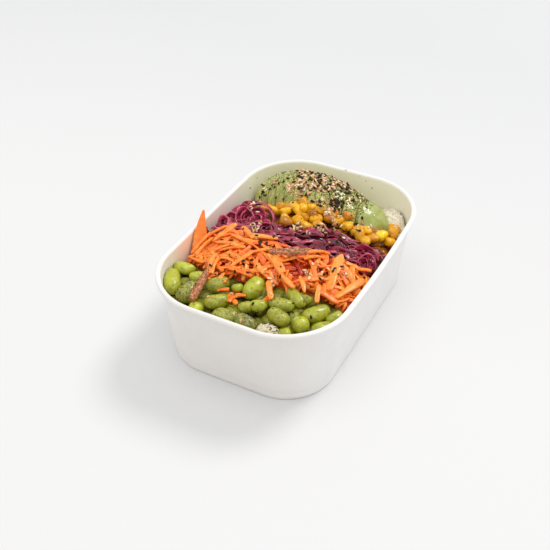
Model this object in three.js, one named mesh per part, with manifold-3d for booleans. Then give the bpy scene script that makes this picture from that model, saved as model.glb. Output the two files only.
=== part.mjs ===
// A poke bowl: a white paper bowl with rounded corners, filled with rice, edamame beans, carrot shreds,
// red cabbage, corn and a fanned avocado half with sesame seeds. Millimetres, +Z up, +Y along the bowl
// from the bean end to the avocado end. The origin is the middle of the bowl's underside.

import * as THREE from "three";
import { mergeVertices } from "three/addons/utils/BufferGeometryUtils.js";
import Module from "manifold-3d";

const wasm = await Module();
wasm.setup();

// ---------------------------------------------------------------- driving dimensions

const RIM_LENGTH = 172; // over the rolled rim, along Y
const RIM_WIDTH = 118; // over the rolled rim, along X, without the bow of the long sides
const BOWL_HEIGHT = 55;
const RIM_CORNER = 39; // corner radius over the rolled rim
const BASE_LENGTH = 156;
const BASE_WIDTH = 102;
const BASE_CORNER = 30;
const SIDE_BOW = 1.3; // the long sides bulge by this at the middle of the rim
const SIDE_DIP = 1.4; // and the rim sinks by this there
const BEAD = 1.6; // radius of the rolled rim
const WALL = 0.8; // paper thickness
const FOOT_WIDTH = 1.8; // the folded skirt that the bowl stands on
const FOOT_RECESS = 4; // from the table to the underside of the base panel
const FLOOR_FILLET = 2;
const GAP = 0.3; // clearance kept between touching pieces

const WALL_TOP = BOWL_HEIGHT - BEAD; // height of the middle of the rolled rim
const FLOOR_TOP = FOOT_RECESS + WALL;

const RICE_TOP = 35.4;
const TOPPING_BASE = RICE_TOP + GAP + 0.1; // the toppings' solids start just above the rice

// Height of the food along the middle of the bowl and along its long walls, as [y, z].
const CROWN_LINE = [[-82, 44], [-74, 46.5], [-62, 48.5], [-48, 50], [-38, 53], [-25, 56], [-10, 57], [0, 55],
  [20, 54], [30, 55], [40, 57]];
const RIGHT_LINE = [[-82, 44], [-60, 45], [-45, 44], [-30, 41], [-10, 42], [30, 41], [50, 40]];
const LEFT_LINE = [[-82, 46], [-62, 49.5], [-48, 47], [-37, 44], [-27, 43], [-20, 45.5], [-14, 49], [-6, 49],
  [2, 45.5], [10, 41.5], [30, 41], [50, 40]];
const HEAP_HALF_WIDTH = 54;
const HEAP_ROUNDNESS = 2.4; // exponent of the fall from the crown to the walls

// Where one topping ends and the next begins, as [x, y] from wall to wall.
const BEANS_END = [[-60, -34], [-48, -35], [-36, -40], [-20, -42], [-8, -41], [2, -35.5], [14, -36],
  [24, -34.5], [34, -32], [44, -33], [60, -34]];
const CARROT_END = [[-60, -18], [-50, -16], [-40, -10], [-30, -8], [-20, -9], [-8, -11], [4, -13], [16, -9],
  [26, -3], [36, -1], [46, -3], [60, -1]];
const CABBAGE_END = [[-60, 33], [-46, 32], [-34, 27], [-24, 18], [-16, 8], [-6, 10], [4, 13], [14, 20],
  [24, 23], [34, 20], [40, 20], [50, 27], [60, 31]];
const CORN_END = [[-40, 33], [0, 40], [30, 42], [44, 47], [60, 54]];
const CORN_LEFT = -38; // no corn beyond this, where cabbage and avocado meet
const FOOD_SIDE = 60; // beyond either long wall
const FOOD_FRONT = -90; // beyond the front wall
const SHOULDER = 7; // a heap's core falls away over this width along its ends
const SHOULDER_DROP = 2.4;
const LEAST_CORE = 1.5; // thickness of a core at its lowest

// The avocado half; fall is the share of its height by which its right end is lower and its left end higher.
const AVOCADO = { x: -5, y: 52.5, halfLength: 48.5, halfWidth: 25, height: 27, fall: 0.21 };
const SLICE_PITCH = 7.6; // one cut to the next
const SLICE_GAP = 0.35;
const SLICE_LEAN = THREE.MathUtils.degToRad(20); // the cuts lean towards the bowl's left wall
const END_PIECE = 15; // length of the uncut piece at the right
// How full each slice stands, from the end piece leftwards.
const SLICE_SCALES = [1, 0.93, 0.955, 0.985, 1, 0.99, 1, 0.975, 0.99, 0.97, 1];

const RICE_CLUMP = { x: 22, y: -71.5, z: 38, rx: 7.5, ry: 6, rz: 8.5 }; // rice that shows between the beans
const RICE_CORNER = { x: 42, y: 66, z: 35, rx: 12, ry: 13, rz: 7 }; // rice heaped beside the avocado's end

// ---------------------------------------------------------------- helpers

// The same numbers in 0..1 every time for one seed.
function randomSource(seed) {
  let state = seed >>> 0;
  return () => {
    state = (state + 0x6d2b79f5) >>> 0;
    let t = Math.imul(state ^ (state >>> 15), 1 | state);
    t = (t + Math.imul(t ^ (t >>> 7), 61 | t)) ^ t;
    return ((t ^ (t >>> 14)) >>> 0) / 4294967296;
  };
}

const mix = (low, high, share) => low + (high - low) * share;
const between = (random, low, high) => mix(low, high, random());

// A closed three.js geometry as a solid, with its faces turned outwards.
function toSolid(geometry) {
  const bare = new THREE.BufferGeometry();
  bare.setAttribute("position", geometry.getAttribute("position"));
  if (geometry.getIndex()) bare.setIndex(geometry.getIndex());
  const merged = mergeVertices(bare, 1e-4);
  const index = merged.getIndex().array;
  const faces = [];
  for (let i = 0; i < index.length; i += 3) {
    const [a, b, c] = [index[i], index[i + 1], index[i + 2]];
    if (a !== b && b !== c && c !== a) faces.push([a, b, c]);
  }
  const build = (list) =>
    new wasm.Manifold(
      new wasm.Mesh({
        numProp: 3,
        vertProperties: merged.getAttribute("position").array,
        triVerts: new Uint32Array(list.flat()),
      }),
    );
  const solid = build(faces);
  return solid.volume() < 0 ? build(faces.map(([a, b, c]) => [a, c, b])) : solid;
}

// Moves every vertex of a geometry by a function of its position.
function reshape(geometry, move) {
  const position = geometry.getAttribute("position");
  const point = new THREE.Vector3();
  for (let i = 0; i < position.count; i += 1) {
    point.fromBufferAttribute(position, i);
    move(point);
    position.setXYZ(i, point.x, point.y, point.z);
  }
  return geometry;
}

// Reads a line of [position, value] pairs at one position.
function readLine(line, at) {
  if (at <= line[0][0]) return line[0][1];
  for (let i = 1; i < line.length; i += 1) {
    const [x0, v0] = line[i - 1];
    const [x1, v1] = line[i];
    if (at <= x1) return v0 + ((v1 - v0) * (at - x0)) / (x1 - x0);
  }
  return line[line.length - 1][1];
}

// Height of the food's surface, before its single pieces.
function heapTop(x, y) {
  const wall = readLine(x < 0 ? LEFT_LINE : RIGHT_LINE, y);
  const fall = Math.min(1, Math.abs(x) / HEAP_HALF_WIDTH) ** HEAP_ROUNDNESS;
  return wall + (readLine(CROWN_LINE, y) - wall) * (1 - fall);
}

// The largest single body of a solid: loose scraps go, and sealed hollows fill.
function largestBody(solid) {
  return solid.decompose().reduce((best, body) => (body.volume() > best.volume() ? body : best));
}

// ---------------------------------------------------------------- the bowl

// Steps round a quarter of the bowl: on half a long side, round a corner, on half a short side.
const WALL_STEPS = { long: 3, corner: 7, short: 2 };
const FOOD_STEPS = { long: 2, corner: 4, short: 1 };
const BEAD_ANGLES = [-60, 0, 45, 90, 135, 180]; // round the rolled rim, from below its outside to its inside

// A point of the wall's outer face and its outward direction, at a height and a step round the bowl.
function wallPoint(z, station, steps) {
  const count = steps.long + steps.corner + steps.short;
  const share = Math.min(1, z / WALL_TOP);
  const inset = 2 * BEAD - WALL; // from the rim's outer edge to the wall's outer face
  const halfWidth = mix(BASE_WIDTH / 2, RIM_WIDTH / 2 - inset, share);
  const halfLength = mix(BASE_LENGTH / 2, RIM_LENGTH / 2 - inset, share);
  const corner = mix(BASE_CORNER, RIM_CORNER - inset, share);
  const quarter = Math.floor(station / count) % 4;
  const step = quarter % 2 === 0 ? station % count : count - (station % count);
  let x = halfWidth;
  let y = halfLength;
  let angle = 0;
  if (step <= steps.long) {
    y = ((halfLength - corner) * step) / steps.long;
  } else if (step <= steps.long + steps.corner) {
    angle = (Math.PI / 2) * ((step - steps.long) / steps.corner);
    x = halfWidth - corner + corner * Math.cos(angle);
    y = halfLength - corner + corner * Math.sin(angle);
  } else {
    angle = Math.PI / 2;
    x = (halfWidth - corner) * (1 - (step - steps.long - steps.corner) / steps.short);
  }
  const middle = Math.cos((Math.PI / 2) * (y / halfLength)) ** 2 * Math.cos(angle) ** 2 * share;
  const signX = quarter === 0 || quarter === 3 ? 1 : -1;
  const signY = quarter < 2 ? 1 : -1;
  return {
    x: signX * (x + SIDE_BOW * middle),
    y: signY * y,
    outX: signX * Math.cos(angle),
    outY: signY * Math.sin(angle),
    dip: SIDE_DIP * middle * share,
  };
}

// A closed body through rings { z, grow }, each following the wall at its height and moved outwards by
// grow. The first and the last ring are points on the bowl's axis.
function loft(rings, steps, dips) {
  const stations = 4 * (steps.long + steps.corner + steps.short);
  const profile = rings.map((ring, i) => new THREE.Vector2(i === 0 || i === rings.length - 1 ? 0 : 1, i));
  const geometry = new THREE.LatheGeometry(profile, stations);
  const position = geometry.getAttribute("position");
  for (let i = 0; i < position.count; i += 1) {
    const ringIndex = i % rings.length;
    const { z, grow } = rings[ringIndex];
    if (ringIndex === 0 || ringIndex === rings.length - 1) {
      position.setXYZ(i, 0, 0, z);
    } else {
      const at = wallPoint(z, Math.floor(i / rings.length) % stations, steps);
      position.setXYZ(i, at.x + at.outX * grow, at.y + at.outY * grow, z - (dips ? at.dip : 0));
    }
  }
  return toSolid(geometry);
}

function bowl() {
  const rings = [
    { z: FOOT_RECESS },
    { z: FOOT_RECESS, grow: -FOOT_WIDTH },
    { z: 0, grow: -FOOT_WIDTH },
    { z: 0, grow: 0 },
  ];
  const beadMiddle = BEAD - WALL; // from the wall's outer face
  const start = -Math.acos(-beadMiddle / BEAD); // where the roll leaves the wall's outer face
  for (const angle of [start, ...BEAD_ANGLES.map(THREE.MathUtils.degToRad)]) {
    rings.push({ z: WALL_TOP + BEAD * Math.sin(angle), grow: beadMiddle + BEAD * Math.cos(angle) });
  }
  rings.push(
    { z: FLOOR_TOP + FLOOR_FILLET, grow: -WALL },
    { z: FLOOR_TOP, grow: -WALL - FLOOR_FILLET },
    { z: FLOOR_TOP },
  );
  return loft(rings, WALL_STEPS, true);
}

// The room inside the bowl from one height to another, a gap clear of the wall.
function room(low, high) {
  const grow = -WALL - GAP;
  return loft([{ z: low }, { z: low, grow }, { z: high, grow }, { z: high }], FOOD_STEPS, false);
}

// ---------------------------------------------------------------- cores of the heaps

const CORE_STEP = 10; // grid of the cores' upper faces

// A block from a flat underside up to a height function, over a rectangle.
function slab(x0, x1, y0, y1, low, top, step) {
  const width = x1 - x0;
  const length = y1 - y0;
  const [columns, rows] = [width, length].map((size) => Math.ceil(size / step));
  const geometry = new THREE.BoxGeometry(width, length, 1, columns, rows, 1);
  return toSolid(
    reshape(geometry, (p) => {
      p.x += (x0 + x1) / 2;
      p.y += (y0 + y1) / 2;
      p.z = p.z > 0 ? top(p.x, p.y) : low;
    }),
  );
}

// An upright prism between two lines across the bowl, a gap clear of both.
function band(frontLine, backLine) {
  const side = GAP / 2 + 0.1;
  const front = frontLine.map(([x, y]) => new THREE.Vector2(x, y + side));
  const back = backLine.map(([x, y]) => new THREE.Vector2(x, y - side)).reverse();
  const shape = new THREE.Shape([...front, ...back]);
  const prism = new THREE.ExtrudeGeometry(shape, { depth: 2 * BOWL_HEIGHT, bevelEnabled: false, steps: 1 });
  return toSolid(prism);
}

// The core of one heap: the food's surface lowered by cover, and falling away along its two ends.
function heapCore(frontLine, backLine, cover, left = -FOOD_SIDE) {
  const low = Math.max(FOOD_FRONT + 5, Math.min(...frontLine.map(([, y]) => y)) - 1);
  const high = Math.max(...backLine.map(([, y]) => y)) + 1;
  const top = (x, y) => {
    const inside = Math.min(y - readLine(frontLine, x), readLine(backLine, x) - y);
    const drop = SHOULDER_DROP * Math.max(0, 1 - inside / SHOULDER) ** 2;
    return Math.max(TOPPING_BASE + LEAST_CORE, heapTop(x, y) - cover - drop);
  };
  const block = slab(left, FOOD_SIDE, low, high, TOPPING_BASE, top, CORE_STEP);
  return block.intersect(band(frontLine, backLine)).intersect(room(TOPPING_BASE - 1, WALL_TOP - 1));
}

// ---------------------------------------------------------------- single pieces

// An ellipsoid with few sides, by its full sizes, bent sideways, turned and moved.
function blob({ size, bend = 0, taper = 0, at, yaw = 0, pitch = 0, roll = 0, sides = 7, rows = 5 }, grow) {
  const turn = new THREE.Matrix4()
    .makeRotationFromEuler(new THREE.Euler(roll, -pitch, yaw, "ZYX"))
    .setPosition(at[0], at[1], at[2]);
  const geometry = new THREE.SphereGeometry(1, sides, rows).rotateZ(-Math.PI / 2);
  return toSolid(
    reshape(geometry, (p) => {
      const along = p.x;
      const narrow = 1 - taper * along;
      p.x *= size[0] / 2 + grow;
      p.y = p.y * (size[1] / 2 + grow) * narrow + bend * (along * along - 0.5);
      p.z *= (size[2] / 2 + grow) * narrow;
      p.applyMatrix4(turn);
    }),
  );
}

// A grain or a seed: the smallest closed body that reads as one.
function grain({ size, at, yaw, pitch }, grow) {
  const turn = new THREE.Matrix4()
    .makeRotationFromEuler(new THREE.Euler(0, -pitch, yaw, "ZYX"))
    .setPosition(at[0], at[1], at[2]);
  const geometry = new THREE.IcosahedronGeometry(1, 0);
  return toSolid(
    reshape(geometry, (p) => {
      p.set(p.x * (size[0] / 2 + grow), p.y * (size[1] / 2 + grow), p.z * (size[2] / 2 + grow));
      p.applyMatrix4(turn);
    }),
  );
}

// A strip with a four-sided section along a path, both given as functions of a share of its length.
function strip({ path, width, thickness, roll = 0, steps = 2 }, grow) {
  const geometry = new THREE.BoxGeometry(1, 1, 1, steps, 1, 1);
  const ahead = new THREE.Vector3();
  const side = new THREE.Vector3();
  const up = new THREE.Vector3();
  return toSolid(
    reshape(geometry, (p) => {
      const share = p.x + 0.5;
      ahead.copy(path(Math.min(1, share + 0.02))).sub(path(Math.max(0, share - 0.02))).normalize();
      side.set(0, 0, 1).cross(ahead).normalize();
      up.copy(ahead).cross(side);
      side.applyAxisAngle(ahead, roll);
      up.applyAxisAngle(ahead, roll);
      const across = p.y * (width(share) + 2 * grow);
      const high = p.z * (thickness + 2 * grow);
      p.copy(path(share)).addScaledVector(side, across).addScaledVector(up, high);
      if (share < 0.01) p.addScaledVector(ahead, -grow);
      if (share > 0.99) p.addScaledVector(ahead, grow);
    }),
  );
}

// A path from one point to another that rises and swings by given amounts at its middle.
function archedPath(from, to, rise, swing) {
  const start = new THREE.Vector3(...from);
  const end = new THREE.Vector3(...to);
  const sideways = new THREE.Vector3(start.y - end.y, end.x - start.x, 0).normalize();
  return (share) => {
    const hump = 4 * share * (1 - share);
    const point = start.clone().lerp(end, share).addScaledVector(sideways, swing * hump);
    point.z += rise * hump;
    return point;
  };
}

// ---------------------------------------------------------------- nodes and clearance

const nodes = new Map();

function addNode(name, solid) {
  nodes.set(name, { solids: [solid], boxes: [solid.boundingBox()] });
}

const ROOT = 0.5; // least volume that a piece shares with its own heap

const boxesMeet = (a, b) => [0, 1, 2].every((k) => a.min[k] < b.max[k] && b.min[k] < a.max[k]);

// Whether a body shares more than a volume with one of a node's bodies.
function meets(solid, node, least) {
  const box = solid.boundingBox();
  const shared = (other, i) => (boxesMeet(box, node.boxes[i]) ? solid.intersect(other).volume() : 0);
  return node.solids.some((other, i) => shared(other, i) > least);
}

const isClear = (solid, own) => [...nodes].every(([name, node]) => name === own || !meets(solid, node, 0));

// Fuses a piece to a node. make(shift, grow) builds it; it is moved up, inwards and back down until it is
// clear of the other nodes and rooted in its own, and skipped if it never is.
function addPiece(name, make, at, tries = 5) {
  const inwardsX = -Math.sign(at[0]) * Math.min(1, Math.abs(at[0]) / 40);
  const inwardsY = -Math.sign(at[1]) * Math.min(1, (Math.abs(at[1]) / 75) ** 3);
  const node = nodes.get(name);
  for (let i = 0; i < tries; i += 1) {
    for (const sink of [0, 0.8, 1.6, 2.4, 3.2]) {
      const shift = new THREE.Vector3(0.9 * i * inwardsX, 0.9 * i * inwardsY, 0.35 * i - sink);
      if (!isClear(make(shift, GAP), name)) break;
      const solid = make(shift, 0);
      if (meets(solid, node, ROOT)) {
        node.solids.push(solid);
        node.boxes.push(solid.boundingBox());
        return;
      }
    }
  }
}

const moved = (at, shift) => [at[0] + shift.x, at[1] + shift.y, at[2] + shift.z];

// ---------------------------------------------------------------- rice

function ellipsoid({ x, y, z, rx, ry, rz }, grow) {
  return blob({ size: [2 * rx, 2 * ry, 2 * rz], at: [x, y, z], sides: 10, rows: 6 }, grow);
}

function riceBed() {
  const bed = room(FLOOR_TOP + FLOOR_FILLET + GAP, RICE_TOP);
  const clump = ellipsoid(RICE_CLUMP, 0).intersect(room(RICE_TOP - 10, WALL_TOP - 2));
  const corner = ellipsoid(RICE_CORNER, 0).intersect(room(RICE_TOP - 10, WALL_TOP - 2));
  return bed.add(clump).add(corner.subtract(grownHalf));
}

const GRAIN = [6, 2.3, 2.3];
const BED_GRAINS = 38; // tried in the two corners beside the avocado
const CLUMP_GRAINS = 12;

// How far out a place in the plan lies from the avocado's middle: 1 is its edge.
const avocadoReach = (x, y) =>
  Math.hypot((x - AVOCADO.x) / AVOCADO.halfLength, (y - AVOCADO.y) / AVOCADO.halfWidth);

// Grains on the rice where it shows: the corners beside the avocado and the clump at the front.
function addRiceGrains() {
  const random = randomSource(11);
  for (let i = 0; i < BED_GRAINS; i += 1) {
    const x = (i % 3 === 0 ? -1 : 1) * between(random, 20, 50);
    const at = [x, between(random, 56, 79), RICE_TOP + between(random, -0.3, 0.5)];
    const turn = { yaw: between(random, 0, Math.PI), pitch: between(random, -0.25, 0.25) };
    if (avocadoReach(at[0], at[1]) < 1.05) continue;
    addPiece("rice", (shift, grow) => grain({ size: GRAIN, at: moved(at, shift), ...turn }, grow), at, 1);
  }
  for (let i = 0; i < CLUMP_GRAINS; i += 1) {
    const angle = between(random, 0, 2 * Math.PI);
    const tilt = between(random, 0.1, 0.9);
    const at = [
      RICE_CLUMP.x + RICE_CLUMP.rx * Math.cos(angle) * Math.sin(tilt),
      RICE_CLUMP.y + RICE_CLUMP.ry * Math.sin(angle) * Math.sin(tilt),
      RICE_CLUMP.z + RICE_CLUMP.rz * Math.cos(tilt),
    ];
    const turn = { yaw: between(random, 0, Math.PI), pitch: between(random, -0.4, 0.4) };
    addPiece("rice", (shift, grow) => grain({ size: GRAIN, at: moved(at, shift), ...turn }, grow), at, 2);
  }
}

// ---------------------------------------------------------------- edamame

// Each bean's middle, its turn in degrees, its length and its width.
const BEANS = [
  { x: -49, y: -45, yaw: 8, long: 14.5, wide: 8 },
  { x: -48, y: -59, yaw: -58, long: 22, wide: 11 },
  { x: -36, y: -50.5, yaw: 30, long: 10, wide: 7.5 },
  { x: -34.5, y: -62.5, yaw: 76, long: 16, wide: 12 },
  { x: -22, y: -50.5, yaw: 43, long: 15, wide: 10 },
  { x: -15.5, y: -63, yaw: 50, long: 15.5, wide: 9 },
  { x: -23.5, y: -72.5, yaw: 18, long: 8.5, wide: 9 },
  { x: -5.5, y: -70.5, yaw: 12, long: 15.5, wide: 9.5 },
  { x: 7, y: -70, yaw: -7, long: 14, wide: 9 },
  { x: -9, y: -50.5, yaw: 39, long: 7, wide: 5.5 },
  { x: -1.5, y: -44.5, yaw: 89, long: 17.5, wide: 12 },
  { x: 8.5, y: -57, yaw: 44, long: 11, wide: 7.5 },
  { x: 2.5, y: -61, yaw: 50, long: 9, wide: 7 },
  { x: 20, y: -50, yaw: 9, long: 13.5, wide: 8 },
  { x: 16, y: -52, yaw: 20, long: 7.5, wide: 6.5 },
  { x: 22, y: -59, yaw: -16, long: 15.5, wide: 9.5 },
  { x: 24, y: -42.5, yaw: -29, long: 17.5, wide: 8 },
  { x: 29.5, y: -41.5, yaw: -20, long: 10.5, wide: 6 },
  { x: 39, y: -46, yaw: 55, long: 17.5, wide: 10 },
  { x: 35, y: -58, yaw: 39, long: 10, wide: 10 },
  { x: 46.5, y: -55, yaw: 62, long: 13.5, wide: 8 },
  { x: 49, y: -43.5, yaw: 64, long: 11, wide: 7.5 },
  { x: 31, y: -69, yaw: 42, long: 7, wide: 7 },
];
const BEAN_ROUNDNESS = 0.92; // a bean's height as a share of its width
const BEAN_RISE = 0.9; // the beans' tops stand this far over the heap's surface
const BEAN_COVER = 5; // the core lies this far under the beans' tops

function addBeans() {
  const random = randomSource(21);
  for (const { x, y, yaw, long, wide } of BEANS) {
    const high = BEAN_ROUNDNESS * wide;
    const at = [x, y, heapTop(x, y) - high / 2 + BEAN_RISE];
    const shape = {
      size: [long, wide, high],
      bend: between(random, 0.5, 1.3),
      yaw: THREE.MathUtils.degToRad(yaw),
      pitch: between(random, -0.12, 0.12),
      roll: between(random, -0.3, 0.3),
    };
    addPiece("edamame", (shift, grow) => blob({ ...shape, at: moved(at, shift) }, grow), at, 7);
  }
}

// ---------------------------------------------------------------- carrot

// The shreds that stand out: both ends as [x, y, height over the heap], the widths there, thickness,
// and rise at the middle.
const CARROT_SHREDS = [
  { from: [-50, -18, 0.5], to: [-35, -6, 1.5], wide: [2, 2.2], thick: 1.8, rise: 0.5 },
  { from: [-29, -9, 3], to: [-18, -15, 0.5], wide: [3, 3], thick: 2, rise: 0.4 },
  { from: [-21, -12, 0.5], to: [-4, -10, 1], wide: [5.2, 2], thick: 2, rise: 0.6 },
  { from: [-41, -22, 0.5], to: [-22, -24, 0.8], wide: [2.4, 2.4], thick: 1.8, rise: 1.5 },
  { from: [-38, -31, 0.5], to: [-25, -20, 0.5], wide: [2.6, 2.2], thick: 2, rise: 1.2 },
  { from: [-34, -29, 0], to: [-19, -23, 0], wide: [2.6, 2.6], thick: 2, rise: 1 },
  { from: [-6, -33, 0.8], to: [2, -38, 0], wide: [2.6, 2.6], thick: 2, rise: 0.3 },
  { from: [-1, -25, 1.2], to: [12, -35, 0], wide: [2.6, 5.4], thick: 2, rise: 0.5 },
  { from: [-30, -39, 0], to: [-22, -44, 0], wide: [2.6, 2.4], thick: 1.8, rise: 0.2 },
  { from: [-21, -41, 0], to: [-4, -42, 0.5], wide: [3, 3], thick: 2, rise: 0.8 },
  { from: [7, -36, 0], to: [15, -50, 1], wide: [3, 3.4], thick: 2.2, rise: 0.6 },
  { from: [-32, -40, -0.4], to: [-25.4, -72, 2.9], wide: [4.6, 4.2], thick: 3.4, rise: 2.6 },
  { from: [-3, -23, 0.5], to: [17, -13, 0.8], wide: [5, 4.6], thick: 4, rise: 0.3 },
  { from: [16, -13, 0], to: [27, -4, 0], wide: [2.8, 2.6], thick: 2, rise: 2.2 },
  { from: [17, -18, 0], to: [28, -10, 0], wide: [2.6, 2.6], thick: 2, rise: 1.4 },
  { from: [34, -2, 2.6], to: [38, -31, 0.2], wide: [4, 7.5], thick: 2, rise: 1.6 },
  { from: [51, -8, 1], to: [44, -32, 0.4], wide: [4.2, 4], thick: 2.4, rise: 1.2 },
  { from: [42, -4, 1], to: [48, -16, 0.4], wide: [3.6, 3.4], thick: 2, rise: 0.8 },
  { from: [44, -4, 0.6], to: [52, 1, 3], wide: [3.2, 3], thick: 2, rise: 0.2 },
  { from: [38, -5, 1], to: [46, -2, 0.6], wide: [3, 3], thick: 1.8, rise: 0.4 },
  { from: [33, -30, 0], to: [38, -44, 2], wide: [3, 2.6], thick: 2, rise: 1.6 },
  { from: [34, -34, 0], to: [47, -34, 0], wide: [4.6, 4], thick: 2.2, rise: 0.4 },
  { from: [21, -31, 0], to: [29, -41, 1.4], wide: [2.8, 2.6], thick: 1.8, rise: 0.8 },
  { from: [9, -34, 0.6], to: [19, -47, 0.4], wide: [3, 3], thick: 2, rise: 0.8 },
  { from: [19, -34, 0.4], to: [31, -23, 0.4], wide: [3, 2.6], thick: 2, rise: 0.8 },
  { from: [-52, -32, 1], to: [-46, -19, 5], wide: [3.4, 1.4], thick: 2, rise: 0.4 },
  { from: [-47, -34, 1], to: [-43, -21, 3], wide: [3, 1.2], thick: 1.8, rise: 0.5 },
  { from: [-43, -27, 0.4], to: [-29, -37, 0.4], wide: [2.8, 2.2], thick: 2, rise: 1 },
  { from: [-28, -30, 0.4], to: [-10, -35, 0.4], wide: [3, 2.4], thick: 2, rise: 0.8 },
  { from: [-20, -40, 0.2], to: [-12, -26, 0.6], wide: [2.4, 3], thick: 1.8, rise: 0.7 },
  { from: [-17, -29, 0.4], to: [-3, -19, 0.6], wide: [2.6, 2], thick: 1.8, rise: 0.8 },
  { from: [-33, -15, 0.4], to: [-16, -20, 0.4], wide: [2.8, 2.4], thick: 2, rise: 1 },
];
// The broad shred that stands at the left wall.
const SPIKE = { from: [-49.5, -27, 42], to: [-55.4, -9.7, 64], wide: [9, 1.4], thick: 2.4, roll: 0.2 };
const CARROT_COVER = 1.4;
const LOOSE_SHREDS = 3;

// A straight-sided shred between two points, as a builder for addPiece.
function shred(from, to, wide, thick, rise, swing, roll) {
  return (shift, grow) =>
    strip(
      {
        path: archedPath(moved(from, shift), moved(to, shift), rise, swing),
        width: (share) => mix(wide[0], wide[1], share),
        thickness: thick,
        roll,
      },
      grow,
    );
}

function addCarrot() {
  const random = randomSource(31);
  const spike = shred(SPIKE.from, SPIKE.to, SPIKE.wide, SPIKE.thick, 0, 0, SPIKE.roll);
  addPiece("carrot", spike, SPIKE.to, 7);
  for (const { from, to, wide, thick, rise } of CARROT_SHREDS) {
    const ends = [from, to].map(([x, y, over]) => [x, y, heapTop(x, y) + over]);
    const swing = between(random, -0.8, 0.8);
    const roll = between(random, -0.3, 0.3);
    addPiece("carrot", shred(...ends, wide, thick, rise, swing, roll), ends[1], 6);
  }
  for (let i = 0; i < LOOSE_SHREDS; i += 1) {
    const x = mix(-46, 50, (i + random()) / LOOSE_SHREDS);
    const front = readLine(BEANS_END, x) + 4;
    const back = readLine(CARROT_END, x) - 4;
    const y = between(random, front, back);
    const yaw = random() < 0.5 ? between(random, -1.1, -0.3) : between(random, 0.3, 1.2);
    const half = between(random, 6, 13);
    const ends = [-1, 1].map((way) => {
      const ex = x + way * half * Math.cos(yaw);
      const ey = Math.min(back + 3, Math.max(front - 3, y + way * half * Math.sin(yaw)));
      return [ex, ey, heapTop(ex, ey) + between(random, -0.8, 1)];
    });
    const wide = [between(random, 1.8, 3.6), between(random, 1.4, 3.2)];
    const thick = between(random, 1.6, 2.2);
    const rise = between(random, 0, 1.4);
    const swing = between(random, -1.6, 1.6);
    const roll = between(random, -0.6, 0.6);
    addPiece("carrot", shred(...ends, wide, thick, rise, swing, roll), ends[0], 4);
  }
}

// ---------------------------------------------------------------- red cabbage

const CABBAGE_COVER = 2;
// Loops and long ribbons that stand out: the middle of the arc, its radius, where it starts and how far
// it runs in degrees, how its plane tilts towards the front, and the ribbon's width.
const CABBAGE_LOOPS = [
  { x: -37, y: 8, over: 2.5, radius: 6, start: 20, sweep: 320, tilt: 40, wide: 2.6 },
  { x: -29.4, y: 9.5, over: 1.5, radius: 11.4, start: -50, sweep: 265, tilt: 25, wide: 3.6 },
  { x: -47, y: -3, over: 0.8, radius: 5, start: -50, sweep: 200, tilt: 30, wide: 3.6 },
  { x: -46, y: 6, over: 0.8, radius: 5.5, start: 60, sweep: 170, tilt: 15, wide: 4 },
  { x: 44, y: 8, over: 1.5, radius: 8, start: 20, sweep: 190, tilt: 20, wide: 3.2 },
  { x: 47, y: 4, over: 2, radius: 6, start: 10, sweep: 200, tilt: 30, wide: 2.8 },
];
// Ribbons that stand on end at the left wall, from their roots to their tips.
const CABBAGE_STANDS = [
  { from: [-50.8, -11, 38], to: [-52.4, -13.6, 53.6], wide: [3.6, 3.2] },
  { from: [-47.5, -9, 40], to: [-48.2, -10.4, 53], wide: [4.4, 4] },
];
const CABBAGE_RIBBONS = 10;

function cabbageLoop({ x, y, over, radius, start, sweep, tilt, wide }) {
  const [begin, turn, lean] = [start, sweep, tilt].map(THREE.MathUtils.degToRad);
  const middle = [x, y, heapTop(x, y) + over];
  const make = (shift, grow) => {
    const [cx, cy, cz] = moved(middle, shift);
    const path = (share) => {
      const angle = begin + turn * share;
      const out = radius * Math.sin(angle);
      return new THREE.Vector3(
        cx + radius * Math.cos(angle),
        cy + out * Math.cos(lean),
        cz + out * Math.sin(lean) - 2.4 * (2 * share - 1) ** 4,
      );
    };
    return strip({ path, width: () => wide, thickness: 1.4, roll: Math.PI / 2.6, steps: 6 }, grow);
  };
  return { make, middle };
}

function addCabbage() {
  const random = randomSource(41);
  for (const loop of CABBAGE_LOOPS) {
    const { make, middle } = cabbageLoop(loop);
    addPiece("cabbage", make, middle, 6);
  }
  for (const { from, to, wide } of CABBAGE_STANDS) {
    addPiece("cabbage", shred(from, to, wide, 1.5, 0.6, 0, 0), to, 6);
  }
  for (let i = 0; i < CABBAGE_RIBBONS; i += 1) {
    const x = mix(-50, 50, (i + random()) / CABBAGE_RIBBONS);
    const front = readLine(CARROT_END, x) + 3;
    const back = readLine(CABBAGE_END, x) - 3;
    const y = between(random, front, back);
    const yaw = between(random, -0.6, 0.9);
    const half = between(random, 6, 12);
    const ends = [-1, 1].map((way) => {
      const ex = Math.max(-53, Math.min(53, x + way * half * Math.cos(yaw)));
      const ey = y + way * half * Math.sin(yaw);
      return [ex, ey, heapTop(ex, ey) + between(random, -1.4, 0.6)];
    });
    const path = archedPath(...ends, 0, between(random, -4, 4));
    const waves = between(random, 1, 2.2);
    const swell = between(random, 0.5, 1.5);
    const wide = between(random, 2.2, 4);
    const roll = between(random, 0.2, 1.3);
    const make = (shift, grow) => {
      const wavy = (share) => {
        const point = path(share).add(shift);
        point.z += swell * Math.sin(2 * Math.PI * waves * share);
        return point;
      };
      return strip({ path: wavy, width: () => wide, thickness: 1.3, roll, steps: 5 }, grow);
    };
    addPiece("cabbage", make, ends[0], 4);
  }
}

// ---------------------------------------------------------------- corn

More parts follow.
